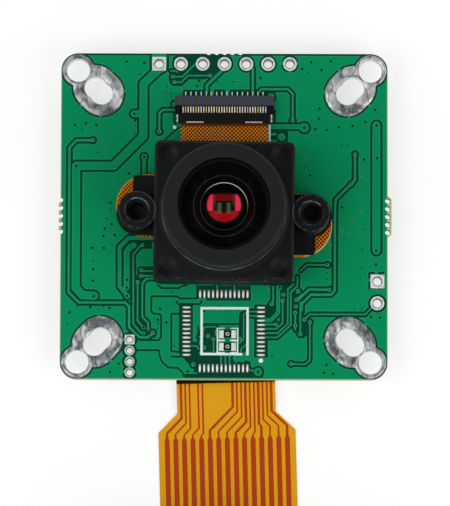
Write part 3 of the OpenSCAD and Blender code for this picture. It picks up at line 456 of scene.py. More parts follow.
# Copper that stands alone, as (width, points) in millimetres on the board. A single point is a via's land.
TRACKS = [
    # supply track from the square header pad, down the left side to its via
    (1.74, [(-7.6, 18.6), (-7.6, 17.6)]),
    (0.9, [(-7.7, 17.1), (-9.42, 15.45), (-9.42, 9.3), (-12.85, 5.83), (-17.2, 5.83), (-17.2, -8.35),
     (-16.4, -9.25), (-15.05, -9.3)]), (0.75, [(-9.5, 11.92), (-10.5, 11.92)]),
    # thin track beside the left edge, round the corner pad and down to the fine header
    (0.24, [(-15.25, 8.82), (-17.2, 8.8), (-18.0, 7.95), (-18.0, -8.9), (-16.8, -10.1), (-11.45, -10.1),
     (-10.98, -10.55), (-10.98, -12.95), (-9.75, -14.12), (-8.85, -14.15), (-8.1, -13.6)]),
    (0.42, [(-15.25, 8.82)]),
    # bundle left of the chip
    (0.14, [(-9.45, -3.38), (-9.8, -3.62), (-10.5, -4.45), (-10.5, -12.55), (-9.65, -13.55), (-9.3, -13.62)]),
    (0.14, [(-10.0, -7.7), (-10.0, -12.2), (-9.35, -12.95)]),
    (0.14, [(-9.6, -6.3), (-9.3, -6.42), (-8.0, -6.42)]), (0.14, [(-9.62, -6.98), (-8.0, -6.98)]),
    (0.16, [(-8.0, -7.3), (-8.95, -7.3), (-9.45, -7.8), (-9.45, -11.75), (-8.75, -12.45), (-8.75, -13.2)]),
    (0.4, [(-9.45, -3.38)]), (0.42, [(-10.0, -7.7)]), (0.4, [(-9.6, -6.3)]), (0.4, [(-9.62, -6.98)]),
    (0.42, [(-9.3, -12.98)]), (0.42, [(-9.3, -13.64)]), (0.46, [(-8.2, -13.58)]),
    # from the flexible circuit's left lobe
    (0.4, [(-8.4, -2.58), (-11.05, -2.58), (-12.1, -3.62), (-12.1, -8.2), (-11.2, -9.3)]),
    (0.62, [(-11.2, -9.34)]), (0.62, [(-10.45, -3.42), (-10.85, -3.6), (-11.28, -4.15), (-11.28, -8.35)]),
    (0.36, [(-9.3, 6.9), (-9.3, 4.6)]), (0.62, [(-9.3, 6.9)]),
    # signals under the header
    (0.13, [(-3.2, 18.0), (-4.9, 16.28), (-6.0, 16.28)]),
    (0.13, [(-5.85, 15.65), (-5.0, 15.65), (-4.25, 16.42), (-1.65, 16.42)]), (0.4, [(-6.0, 16.3)]),
    (0.4, [(-5.85, 15.65)]), (0.4, [(-1.65, 16.42)]), (0.12, [(-6.25, 16.95), (-5.9, 17.0), (-5.5, 16.82)]),
    (0.28, [(-0.1, 17.2), (-2.05, 15.3), (-2.05, 14.5)]), (0.24, [(3.1, 17.6), (3.3, 17.2), (3.3, 14.5)]),
    (0.2, [(-7.55, 9.85), (-7.55, 12.0), (-7.15, 12.4), (-5.6, 12.4)]), (0.5, [(-7.55, 9.85)]),
    (0.18, [(3.95, 14.5), (4.3, 14.85), (7.4, 14.85), (7.95, 14.3), (7.95, 11.2)]), (0.45, [(7.95, 11.2)]),
    (0.5, [(5.3, 10.47), (8.7, 10.47), (9.3, 10.35)]), (1.05, [(9.3, 10.35)]), (0.85, [(6.65, 9.25)]),
    (0.62, [(-5.75, 13.05)]), (0.8, [(5.4, 13.95)]),
    # right side
    (0.88, [(17.68, 10.65), (17.68, -3.95)]),
    (0.24, [(15.2, 7.25), (15.2, 4.25), (14.75, 3.8), (12.92, 1.97), (12.86, 0.2), (12.86, -8.65),
     (12.4, -9.12), (10.1, -9.12), (9.0, -10.2), (9.0, -10.9)]), (0.42, [(15.2, 7.25)]),
    (0.42, [(14.75, 3.8)]), (0.13, [(12.0, -5.65), (9.6, -5.65), (8.9, -6.3)]), (0.42, [(12.0, -5.65)]),
    (0.22, [(12.2, -8.53), (9.85, -8.5), (8.6, -9.75)]), (0.42, [(12.2, -8.53)]),
    (0.13, [(17.4, -10.3), (16.4, -11.4), (9.95, -11.4), (9.35, -12.0)]), (0.42, [(9.33, -12.03)]),
    (0.13, [(9.98, -12.35), (9.98, -16.72), (9.42, -17.22), (7.8, -17.15)]), (0.42, [(9.98, -12.3)]),
    (0.42, [(7.8, -17.15)]),
    # bundle right of the chip
    (0.16, [(5.72, -8.0), (5.72, -9.75), (5.55, -10.2)]), (0.46, [(5.55, -10.2)]),
    (0.4, [(6.3, -8.2), (6.3, -11.2), (5.45, -12.1), (4.6, -12.1)]), (0.5, [(6.5, -8.3)]),
    (0.14, [(4.6, -12.6), (6.05, -12.58)]), (0.42, [(6.05, -12.58)]),
    (0.14, [(6.82, -9.8), (6.82, -12.42), (6.1, -13.1), (4.6, -13.1)]), (0.46, [(6.82, -9.8)]),
    (0.42, [(6.9, -9.12)]), (0.14, [(8.05, -7.9), (7.42, -8.5), (7.42, -12.5), (6.25, -13.6), (4.6, -13.6)]),
    (0.14, [(8.52, -7.0), (8.52, -8.1), (7.77, -8.85), (7.77, -12.65), (6.2, -14.1), (4.6, -14.1)]),
    (0.5, [(8.6, -8.72)]), (0.46, [(8.42, -9.7)]), (0.42, [(8.35, -10.5)]), (0.42, [(8.28, -11.22)]),
    (0.14, [(8.28, -11.22), (8.28, -13.2)]), (0.42, [(8.28, -12.7)]), (0.14, [(8.87, -10.0), (8.87, -13.7)]),
    (0.46, [(8.87, -13.7)]), (0.14, [(8.42, -9.7), (9.1, -9.05)]),
    # round and inside the chip's outline
    (0.9, [(4.0, -18.1)]), (0.14, [(2.9, -17.8), (3.5, -18.0)]),
    (0.13, [(-3.8, -15.1), (-3.15, -15.1), (-2.9, -15.45)]), (0.13, [(-0.3, -16.05), (-0.3, -17.3)]),
    (0.13, [(0.2, -16.05), (0.2, -17.3)]), (0.13, [(0.68, -16.05), (0.68, -17.3)]), (0.42, [(0.68, -16.15)]),
    (0.46, [(-3.5, -17.25)]), (0.46, [(-1.8, -13.95)]), (0.42, [(-1.2, -14.3)]),
    (0.13, [(-1.17, -14.4), (-1.17, -15.8)]), (0.46, [(-2.3, -15.3)]),
    (0.13, [(-2.9, -14.02), (-2.4, -14.02), (-2.4, -13.2), (-2.15, -12.88), (-0.9, -12.88)]),
    (0.13, [(2.75, -11.1), (2.3, -11.5), (2.3, -14.3), (1.85, -14.75)]), (0.42, [(1.85, -14.25)]),
    (0.13, [(2.55, -14.95), (2.0, -15.45), (2.0, -15.8)]), (0.13, [(2.8, -11.1), (4.0, -11.1)]),
    (0.13, [(2.8, -11.6), (4.0, -11.6)]), (0.13, [(-0.78, -7.8), (-0.78, -8.7)]),
    (0.13, [(1.22, -7.8), (1.22, -8.7)]),
]
# Gaps that part one pour of copper from the next.
GAPS = [
    [(-7.7, -8.05), (-7.2, -8.4), (-5.25, -8.4), (-4.75, -8.12), (-4.3, -8.05)],
    [(-3.08, -8.1), (-3.08, -9.58), (-5.1, -9.6), (-5.4, -9.36), (-8.4, -9.36), (-8.42, -11.1), (-8.1, -11.4),
     (-7.45, -11.4), (-7.25, -11.6), (-7.25, -14.05), (-7.5, -14.45), (-9.6, -14.45)],
    [(-5.2, -11.36), (-6.07, -11.36), (-6.07, -15.7), (-5.0, -15.84)],
    [(-6.05, -16.36), (-4.65, -16.36), (-3.5, -17.7)],
    [(-10.2, -15.62), (-7.5, -15.62), (-7.4, -16.35), (-7.1, -17.0), (-6.45, -17.6), (-5.4, -17.65),
     (-4.85, -18.05), (-4.6, -18.6)], [(-5.3, -10.25), (-2.8, -10.25), (-2.6, -10.0), (-2.55, -9.8)],
    [(-2.95, -12.85), (-2.95, -14.75), (-3.6, -14.75)], [(-2.3, -12.55), (1.8, -12.55)],
    [(-5.28, 10.35), (-6.75, 9.05), (-6.8, 8.2)], [(-5.85, 12.1), (-5.85, 11.0), (-5.6, 10.7)],
    [(5.3, 9.85), (7.3, 9.85), (7.3, 8.3)], [(5.85, 12.4), (5.85, 11.0)], [(9.3, -10.3), (9.3, -11.1)],
    [(-11.5, -3.75), (-10.9, -2.86), (-8.4, -2.86)],
]
# Places with no copper, as outlines.
BARE = [
    [(-6.05, 18.5), (-6.05, 17.3), (-5.55, 16.75), (-6.3, 16.85), (-6.55, 16.3), (-6.4, 15.5), (-5.9, 15.15),
     (-4.9, 15.15), (-4.1, 15.95), (-2.2, 15.95), (-1.0, 16.95), (-0.3, 17.0), (0.55, 17.15), (0.95, 17.7),
     (0.95, 18.4), (0.7, 18.72), (-5.8, 18.72)],
    [(-4.85, 14.0), (-4.85, 14.78), (-1.65, 14.78), (-1.65, 14.0)],
    [(-1.25, 14.0), (-1.25, 14.82), (0.12, 14.82), (0.12, 14.0)],
    [(0.55, 14.0), (0.55, 14.82), (3.1, 14.82), (3.1, 14.0)],
    [(3.5, 14.0), (3.5, 14.7), (5.0, 14.7), (5.0, 14.0)],
    [(-9.9, -3.1), (-8.3, -3.1), (-8.3, -3.85), (-9.6, -3.85)],
    [(-9.95, -5.85), (-8.2, -5.85), (-8.2, -7.2), (-9.2, -7.3), (-9.75, -7.5)],
    [(-3.05, -8.05), (3.15, -8.05), (3.15, -9.85), (-2.05, -9.85), (-2.05, -9.62), (-3.05, -9.62)],
    [(-5.22, -10.2), (-3.56, -10.2), (-3.56, -16.42), (-5.0, -16.42), (-5.22, -15.7)],
    [(3.5, -10.25), (5.15, -10.25), (5.15, -14.4), (5.15, -16.45), (3.5, -16.45)],
    [(-3.05, -17.05), (1.4, -17.05), (1.7, -16.8), (2.2, -17.0), (2.6, -16.72), (3.15, -16.9), (3.15, -18.4),
     (-3.05, -18.4)],
    [(-3.75, -15.25), (-2.85, -15.25), (-2.85, -16.1), (1.1, -16.1), (1.1, -16.6), (1.4, -17.1),
     (-2.9, -17.1), (-3.0, -18.2), (-3.6, -18.2), (-3.3, -17.6), (-4.5, -16.4)],
    [(-4.5, -18.32), (4.6, -18.32), (4.6, -18.8), (-4.5, -18.8)],
    [(-2.4, -13.0), (-1.0, -13.0), (-1.0, -15.8), (-2.4, -15.8)],
    [(1.72, -11.35), (2.1, -11.0), (2.6, -11.0), (2.6, -15.8), (1.72, -15.8)],
    [(2.9, -10.7), (3.8, -10.7), (3.8, -11.95), (2.9, -11.95)],
    [(5.0, -10.4), (5.3, -10.0), (5.9, -10.4), (6.05, -11.0), (5.3, -11.85), (5.0, -11.85)],
    [(7.0, -8.0), (8.2, -8.0), (7.55, -8.7), (7.55, -12.5), (6.9, -13.2), (6.0, -13.9), (5.0, -13.9),
     (5.0, -12.4), (6.4, -12.4), (6.65, -11.4), (6.65, -8.0)],
    [(7.95, -9.0), (8.75, -8.2), (9.0, -8.3), (8.8, -9.3), (9.0, -10.4), (9.4, -10.6), (9.4, -11.9),
     (9.65, -12.3), (9.65, -13.8), (9.3, -14.2), (8.6, -14.15), (8.1, -13.4), (7.95, -12.8)],
    [(5.4, 8.9), (6.1, 8.9), (6.1, 9.45), (5.4, 9.45)],
    [(-9.1, -11.9), (-8.6, -12.4), (-8.45, -13.2), (-7.9, -13.4), (-7.9, -14.2), (-9.9, -14.2), (-9.9, -13.4),
     (-9.1, -13.4)],
]
# Vias as (x, y, form): 0 is a filled dark one, 1 has a ring that shows, 2 is faint.
VIAS = [
    (-11.4, 18.05, 0), (-9.35, 17.9, 0), (-9.85, 16.6, 2), (-10.5, 11.92, 0), (-10.35, 11.15, 0),
    (-10.3, 10.5, 2), (-10.4, 9.6, 2), (-17.35, 10.58, 0), (-16.1, 10.8, 0), (-14.9, 10.58, 0),
    (-16.55, 10.05, 2), (-15.25, 8.82, 1), (-6.65, 15.15, 2), (-6.85, 14.4, 2), (-6.2, 14.35, 2),
    (-3.2, 15.2, 0), (-2.95, 15.8, 0), (-0.85, 15.7, 2), (0.95, 15.7, 2), (1.65, 15.7, 1), (4.2, 16.15, 0),
    (-7.55, 9.85, 1), (-6.0, 16.3, 1), (-5.85, 15.65, 1), (-1.65, 16.42, 1), (7.95, 11.2, 1), (9.3, 10.35, 0),
    (6.65, 9.25, 1), (9.05, 17.25, 0), (10.1, 18.02, 0), (12.4, 18.15, 0), (11.3, 17.1, 0), (9.65, 16.85, 2),
    (11.05, 12.6, 0), (11.0, 11.4, 0), (12.4, 11.6, 1), (10.6, 10.2, 0), (11.9, 10.1, 0), (13.3, 10.4, 0),
    (14.9, 10.6, 0), (16.4, 11.05, 0), (17.55, 12.45, 0), (17.7, 10.62, 0), (13.65, 8.3, 2), (14.35, 8.3, 2),
    (15.2, 7.25, 1), (16.25, 6.65, 0), (9.6, 6.95, 1), (9.4, 5.85, 2), (10.0, 4.8, 0), (15.95, 4.8, 1),
    (14.75, 3.8, 1), (15.65, 2.7, 1), (13.7, 1.05, 0), (16.0, 0.65, 1), (14.95, -0.55, 1), (17.75, 6.8, 0),
    (-17.2, 5.8, 0), (-13.72, 7.8, 1), (-14.75, 7.4, 2), (-11.1, 4.95, 0), (-13.2, 1.5, 0), (-13.2, 0.7, 2),
    (-13.65, -0.3, 2), (-13.05, -0.98, 0), (-9.3, 6.9, 0), (-13.85, -1.5, 0), (-14.0, -2.38, 0),
    (-12.7, -2.25, 0), (-15.28, -3.75, 0), (-13.95, -3.75, 0), (-15.2, -5.28, 2), (-15.15, -6.22, 0),
    (-15.2, -7.55, 0), (-15.1, -9.38, 0), (-11.2, -7.45, 0), (-11.25, -8.35, 0), (-11.22, -9.34, 0),
    (-9.45, -3.38, 1), (-9.6, -6.3, 1), (-9.62, -6.98, 1), (-10.0, -7.7, 1), (-15.48, -10.65, 0),
    (-13.95, -10.55, 2), (-13.25, -10.7, 0), (-17.88, -11.25, 0), (-16.95, -10.6, 2), (-18.15, -12.7, 2),
    (-12.12, -17.2, 0), (-13.15, -18.18, 0), (13.7, -1.7, 1), (14.45, -2.0, 1), (16.2, -1.5, 2),
    (16.05, -3.9, 2), (17.65, -5.58, 0), (15.95, -6.05, 2), (15.8, -7.2, 2), (12.35, -3.3, 1),
    (17.68, -4.0, 0), (12.0, -5.65, 1), (11.95, -6.6, 2), (11.9, -7.3, 2), (12.2, -8.53, 1),
    (15.15, -10.85, 2), (16.0, -10.8, 2), (17.05, -11.7, 0), (18.1, -11.78, 0), (11.9, -17.25, 0),
    (11.65, -18.2, 0), (12.65, -18.3, 0), (9.33, -12.03, 1), (9.98, -12.3, 1), (-6.05, -8.85, 2),
    (-5.45, -10.02, 0), (-7.4, -10.82, 0), (-7.6, -12.08, 0), (-7.55, -12.5, 2), (-6.65, -12.4, 0),
    (-7.7, -13.15, 2), (-8.2, -13.58, 1), (-8.75, -13.2, 1), (-5.75, -15.1, 2), (-2.3, -11.1, 0),
    (-0.95, -11.1, 1), (-1.8, -13.95, 1), (-1.2, -14.3, 1), (-2.3, -15.3, 1), (-3.5, -17.25, 1),
    (-4.15, -18.1, 0), (4.0, -18.1, 0), (5.6, -16.35, 2), (7.8, -17.15, 1), (1.85, -14.25, 1),
    (0.68, -16.15, 1), (5.55, -10.2, 1), (6.05, -12.58, 1), (6.82, -9.8, 1), (6.9, -9.12, 1), (6.5, -8.3, 0),
    (8.6, -8.72, 1), (8.42, -9.7, 1), (8.35, -10.5, 1), (8.28, -11.22, 1), (8.28, -12.7, 1), (8.87, -13.7, 1),
    (5.2, -8.25, 1), (-9.3, -12.98, 0), (-9.3, -13.64, 2),
]

# Spokes of copper that cross the gap round a pad, as lines.
SPOKES = [
    [(-11.6, 14.6), (-12.1, 14.6)], [(-14.4, 11.7), (-14.4, 12.2)], [(-16.9, 12.6), (-16.3, 13.2)],
    [(-13.3, 17.4), (-12.9, 17.0)], [(11.5, 14.5), (12.1, 14.5)], [(14.5, 11.6), (14.5, 12.2)],
    [(16.9, 13.0), (16.3, 13.4)], [(13.2, 17.3), (13.7, 16.9)], [(-14.5, -11.5), (-14.5, -12.1)],
    [(-11.6, -14.35), (-12.1, -14.35)], [(-12.9, -17.0), (-13.4, -16.7)], [(11.5, -14.45), (12.1, -14.45)],
    [(13.0, -17.2), (13.5, -16.8)], [(16.4, -12.6), (16.8, -12.2)], [(6.4, 17.9), (6.9, 17.9)],
    [(7.62, 17.1), (7.62, 16.6)], [(8.4, 17.9), (8.9, 17.9)], [(17.7, -6.2), (17.7, -6.8)],
    [(17.7, -8.1), (17.7, -8.7)], [(16.5, -7.4), (17.0, -7.4)], [(-11.8, -18.1), (-11.2, -18.1)],
    [(-10.3, -18.1), (-9.7, -18.1)],
]


class Plan:
    """Signed distances on a fine square grid, in millimetres: below 0 inside a shape."""

    def __init__(self, low, high, step):
        self.low, self.step = low, step
        self.axis = np.arange(low, high + step / 2, step)
        self.x, self.y = np.meshgrid(self.axis, self.axis)

    def lines(self, shapes):
        """Round-ended strips, as (width, points)."""
        field = np.full(self.x.shape, 9.0)
        for width, points in shapes:
            points = np.array(points, float)
            for a, b in zip(points, points[1:] if len(points) > 1 else points):
                reach = width / 2 + 1.2
                low = np.searchsorted(self.axis, np.minimum(a, b) - reach)
                high = np.searchsorted(self.axis, np.maximum(a, b) + reach)
                window = np.s_[low[1]:high[1], low[0]:high[0]]
                x, y = self.x[window] - a[0], self.y[window] - a[1]
                run = b - a
                share = np.clip((x * run[0] + y * run[1]) / max(run @ run, 1e-9), 0, 1)
                gap = np.hypot(x - share * run[0], y - share * run[1]) - width / 2
                field[window] = np.minimum(field[window], gap)
        return field

    def outlines(self, shapes):
        """Filled outlines."""
        field = np.full(self.x.shape, 9.0)
        for points in shapes:
            edge = self.lines([(0, points + points[:1])])
            inside = np.zeros(self.x.shape, bool)
            for (x0, y0), (x1, y1) in zip(points, points[1:] + points[:1]):
                crosses = (y0 > self.y) != (y1 > self.y)
                inside ^= crosses & (self.x < (x1 - x0) * (self.y - y0) / ((y1 - y0) or 1e-9) + x0)
            field = np.minimum(field, np.where(inside, -edge, edge))
        return field

    def at(self, field, x, y):
        """The field between grid points."""
        last = len(self.axis) - 2
        u, v = (np.asarray(x) - self.low) / self.step, (np.asarray(y) - self.low) / self.step
        i, j = np.clip(v.astype(int), 0, last), np.clip(u.astype(int), 0, last)
        v, u = np.clip(v - i, 0, 1), np.clip(u - j, 0, 1)
        return ((field[i, j] * (1 - u) + field[i, j + 1] * u) * (1 - v)
                + (field[i + 1, j] * (1 - u) + field[i + 1, j + 1] * u) * v)

    def contour(self, field, level):
        """Lines along which the field has that value."""
        above = field > level
        corners = above[:-1, :-1] + 2 * above[:-1, 1:] + 4 * above[1:, 1:] + 8 * above[1:, :-1]
        follow = {}
        # sides of a square that the line runs between, for each set of corners that lie above the level
        pairs = {1: [(3, 0)], 2: [(0, 1)], 3: [(3, 1)], 4: [(1, 2)], 5: [(3, 2), (1, 0)], 6: [(0, 2)],
                 7: [(3, 2)], 8: [(2, 3)], 9: [(2, 0)], 10: [(0, 3), (2, 1)], 11: [(2, 1)], 12: [(1, 3)],
                 13: [(1, 0)], 14: [(0, 3)]}
        sides = {0: (0, 0, 1), 1: (0, 1, 0), 2: (1, 0, 1), 3: (0, 0, 0)}
        for i, j in zip(*np.nonzero((corners > 0) & (corners < 15))):
            for start, end in pairs[int(corners[i, j])]:
                keys = [(i + sides[s][0], j + sides[s][1], sides[s][2]) for s in (start, end)]
                follow.setdefault(keys[0], []).append(keys[1])
        lines = []
        while follow:
            heads = set(follow) - {key for ends in follow.values() for key in ends}
            key = min(heads) if heads else min(follow)
            line = [key]
            while key in follow:
                ends = follow[key]
                after = ends.pop()
                if not ends:
                    del follow[key]
                key = after
                line.append(key)
                if key == line[0]:
                    break
            lines.append(line)
        placed = []
        for line in lines:
            points = []
            for i, j, flat in line:
                other = (i, j + 1) if flat else (i + 1, j)
                share = (level - field[i, j]) / (field[other] - field[i, j])
                points.append((self.low + (j + share * flat) * self.step,
                               self.low + (i + share * (1 - flat)) * self.step))
            placed.append(np.array(points))
        return placed


def thinned(points, tolerance):
    """A line with only the points that its shape needs."""
    keep = np.zeros(len(points), bool)
    keep[[0, -1]] = True
    todo = [(0, len(points) - 1)]
    if np.allclose(points[0], points[-1]) and len(points) > 3:
        far = int(np.argmax(np.linalg.norm(points - points[0], axis=1)))
        keep[far] = True
        todo = [(0, far), (far, len(points) - 1)]
    while todo:
        a, b = todo.pop()
        if b <= a + 1:
            continue
        run = points[b] - points[a]
        off = points[a + 1:b] - points[a]
        gap = abs(run[0] * off[:, 1] - run[1] * off[:, 0]) / max(np.hypot(*run), 1e-9)
        worst = int(np.argmax(gap))
        if gap[worst] > tolerance:
            keep[a + 1 + worst] = True
            todo += [(a, a + 1 + worst), (a + 1 + worst, b)]
    return points[keep]


def rim_of(node, z):
    """The edges, as pairs of points in millimetres, round a CAD node's flat face at height z."""
    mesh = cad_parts[node].data
    count = {}
    for polygon in mesh.polygons:
        points = [mesh.vertices[i].co / MM for i in polygon.vertices]
        if max(abs(p.z - z) for p in points) < 1e-3:
            flat = [(round(p.x, 3), round(p.y, 3)) for p in points]
            for a, b in zip(flat, flat[1:] + flat[:1]):
                count[a, b] = count.get((a, b), 0) + 1
    return [(a, b) for a, b in count if (b, a) not in count]


def within(x, y, edges):
    """Whether points are inside closed edges."""
    inside = np.zeros(len(x), bool)
    for (x0, y0), (x1, y1) in edges:
        crosses = (y0 > y) != (y1 > y)
        inside[crosses] ^= x[crosses] < (x1 - x0) * (y[crosses] - y0) / (y1 - y0) + x0
    return inside


def sheet_of(name, lines, loose, keep, height, floor):
    """A mesh over the plane whose edges follow the lines. keep tells which triangles stay, height gives Z,
    and a wall goes down to floor along the rim. It comes with its points in the plane and a list of those
    on the rim."""
    points, edges = [], []
    for line in lines:
        start = len(points)
        points += [Vector(p) for p in line]
        edges += [(start + i, start + i + 1) for i in range(len(line) - 1)]
    points += [Vector(p) for p in loose]
    flat, _, faces, _, _, _ = delaunay_2d_cdt(points, edges, [], 0, 1e-4)
    flat = np.array([(p.x, p.y) for p in flat])
    faces = np.array([f for f in faces if len(f) == 3])
    middle = flat[faces].mean(1)
    faces = faces[keep(middle[:, 0], middle[:, 1])]
    used, faces = np.unique(faces, return_inverse=True)
    faces = faces.reshape(-1, 3)
    flat = flat[used]
    z = height(flat[:, 0], flat[:, 1])
    solid = np.column_stack([flat, z])
    run_a, run_b = flat[faces[:, 1]] - flat[faces[:, 0]], flat[faces[:, 2]] - flat[faces[:, 0]]
    turned = run_a[:, 0] * run_b[:, 1] - run_a[:, 1] * run_b[:, 0] < 0
    faces[turned] = faces[turned][:, ::-1]
    sides = {(int(f[k]), int(f[(k + 1) % 3])) for f in faces for k in range(3)}
    rim = [side for side in sides if side[::-1] not in sides]
    rim_points = sorted({p for side in rim for p in side})
    lower = {p: len(solid) + i for i, p in enumerate(rim_points)}
    solid = np.concatenate([solid, np.column_stack([flat[rim_points], np.full(len(rim_points), floor)])])
    walls = [(b, a, lower[a], lower[b]) for a, b in sorted(rim)]
    return from_lists(name, solid, faces.tolist() + walls), flat, rim_points


def corner_pad(a, b):
    """Strips that make the tinned ring at a corner, which is given as the signs of its X and Y: one strip
    round the slot, and one round the hole beyond it."""
    return [(5.2, [(a * 14.3, b * 14.3), (a * 15, b * 15)]), (3.7, [(a * 17, b * 17)])]


class MaskOperator(bpy.types.Operator):
    """Makes the solder mask, which follows the copper under it"""
    bl_idname = "board_camera.mask"
    bl_label = "Solder mask and tracks"

    def execute(self, context):
        look = settings("board")
        self.mask(look)
        self.vias(look)
        return {"FINISHED"}

    def copper(self, plan, channel):
        """A field that is above 0 where copper lies under the mask."""
        header_pitch, fine_pitch, pad_gap, gap_width, spoke_width, edge_y = 2.54, 1.27, 0.24, 0.28, 0.3, 19
        # pads of the header row's round holes, of the two-pin row's lower hole and of the fine row
        holes = [(1.52, [((i - 3) * header_pitch, 17.8)]) for i in range(1, 7)]
        holes += [(1.6, [(17.8, -10.1)]), (1.3, [(-10.9, -14.4)])]
        holes += [(1.2, [(-10.9, -18.2 + i * fine_pitch)]) for i in range(3)]
        alone = plan.lines(TRACKS + holes)
        corners = ((1, 1), (-1, 1), (-1, -1), (1, -1))
        pads = plan.lines([strip for a, b in corners for strip in corner_pad(a, b)])
        square = plan.outlines([[(16.72, -6.42), (18.62, -6.42), (18.62, -8.5), (16.72, -8.5)]])
        # the copper stops short of the board's upper edge
        bare = np.minimum.reduce([alone - channel, pads - pad_gap, square, plan.outlines(BARE),
                                  plan.lines([(gap_width, gap) for gap in GAPS]), edge_y - pad_gap - plan.y])
        spokes = plan.lines([(spoke_width, spoke) for spoke in SPOKES])
        return np.maximum.reduce([bare, -alone, -spokes])

    def mask(self, look):
        """The mask as one sheet, low where there is no copper. Its attributes tell grooves and their rims."""
        plan = Plan(-19.8, 19.8, 0.05)
        field = self.copper(plan, look.channel / MM)
        lines = [thinned(line, 0.012) for level in (-0.05, 0.02, 0.11) for line in plan.contour(field, level)]
        rim = rim_of("pcb", 0)
        lines += [np.array(pair) for pair in rim]
        high, low = look.copper / MM, look.bare / MM

        def height(x, y):
            return low + (high - low) * np.clip((plan.at(field, x, y) + 0.04) / 0.06, 0, 1)

        mesh, flat, wall = sheet_of("solder_mask", lines, [], lambda x, y: within(x, y, rim), height, 0.0)
        value = plan.at(field, flat[:, 0], flat[:, 1])
        groove = np.clip((0.02 - value) / 0.06, 0, 1)
        ridge = np.clip((0.11 - value) / 0.08, 0, 1) * (1 - groove)
        for name, numbers in (("groove", groove), ("ridge", ridge)):
            store(mesh, name, np.concatenate([numbers, numbers[wall]]))
        link("solder_mask", mesh, self.paint(look), "board")

    def paint(self, look):
        """Green lacquer, dark in the grooves, pale on their rims and along the board's routed edges. The pale
        rims are partly the thinner mask over the copper's edges and partly a painted highlight where the
        relief's edges catch the light.
        """
        paint = Finish("solder_mask", shown(look.mask), Specular_IOR_Level=0.06)
        fine = paint.speckle(0.35)
        over = paint.blend(paint.speckle(7) * 0.5, shown(look.mask), (2, 136, 84))
        # the grooves' rims: thinner mask over copper edges, with a painted highlight where the relief's edges
        # catch the light
        over = paint.blend(paint.attribute("ridge") * 0.3, over, (60, 182, 134))
        over = paint.blend(paint.attribute("groove"), over, shown(look.groove))
        # a little bare laminate shows at the left, the right and the bottom
        x, y, z = paint.place()
        edge = abs(x).most(y * -1).ease(18.90, 18.96)
        paint.set("Base Color", paint.blend(edge * 0.7, over, (214, 216, 176)))
        paint.set("Roughness", 0.30 + 0.16 * fine)
        paint.bump(fine, 0.004)
        return paint

    def vias(self, look):
        """Covered vias: a dark plug, and where it shows, the ring round it."""
        dark = Finish("via_plug", (3, 22, 17), Roughness=0.5, Specular_IOR_Level=0.05)
        dark.set("Base Color", dark.blend(dark.speckle(0.2), (3, 16, 13), (4, 40, 31)))
        ring = Finish("via_ring", (84, 190, 148), Roughness=0.34, Specular_IOR_Level=0.1)
        ring.set("Base Color", ring.blend(ring.speckle(0.2), (60, 176, 128), (120, 208, 172)))
        z, plug_r, form_sizes = look.copper / MM + 0.004, 0.145, (1.0, 0.75, 0.62)
        for name, forms, shape, finish in (("via_plugs", (0, 1, 2), disc, dark),
                                           ("via_rings", (1,), hoop, ring)):
            chosen = [via for via in VIAS if via[2] in forms]
            places = [(x, y, z) for x, y, form in chosen]
            sizes = [form_sizes[form] for x, y, form in chosen]
            mesh = scattered(name, places, sizes, [0] * len(chosen), shape, plug_r, finish)
            link(name, mesh, finish, "board")


def disc(graph, size):
    return graph.add("GeometryNodeMeshCircle", {"fill_type": "TRIANGLE_FAN"},
                     {"Vertices": 10, "Radius": size}).outputs[0]


def hoop(graph, size):
    path, wire = (graph.add("GeometryNodeCurvePrimitiveCircle",
                            inputs={"Resolution": points, "Radius": size * share})
                  for points, share in ((14, 1.35), (4, 0.26)))
    return graph.add("GeometryNodeCurveToMesh", inputs={"Curve": path.outputs[0],
                                                        "Profile Curve": wire.outputs[0]}).outputs[0]


def bead(graph, size):
    """A long low drop of solder."""
    ball = graph.add("GeometryNodeMeshUVSphere", inputs={"Segments": 14, "Rings": 8, "Radius": size})
    return graph.add("GeometryNodeTransform", inputs={"Geometry": ball.outputs[0],
                                                      "Scale": (0.27, 1.0, 0.24)}).outputs[0]


# ---------------------------------------------------------------- solder

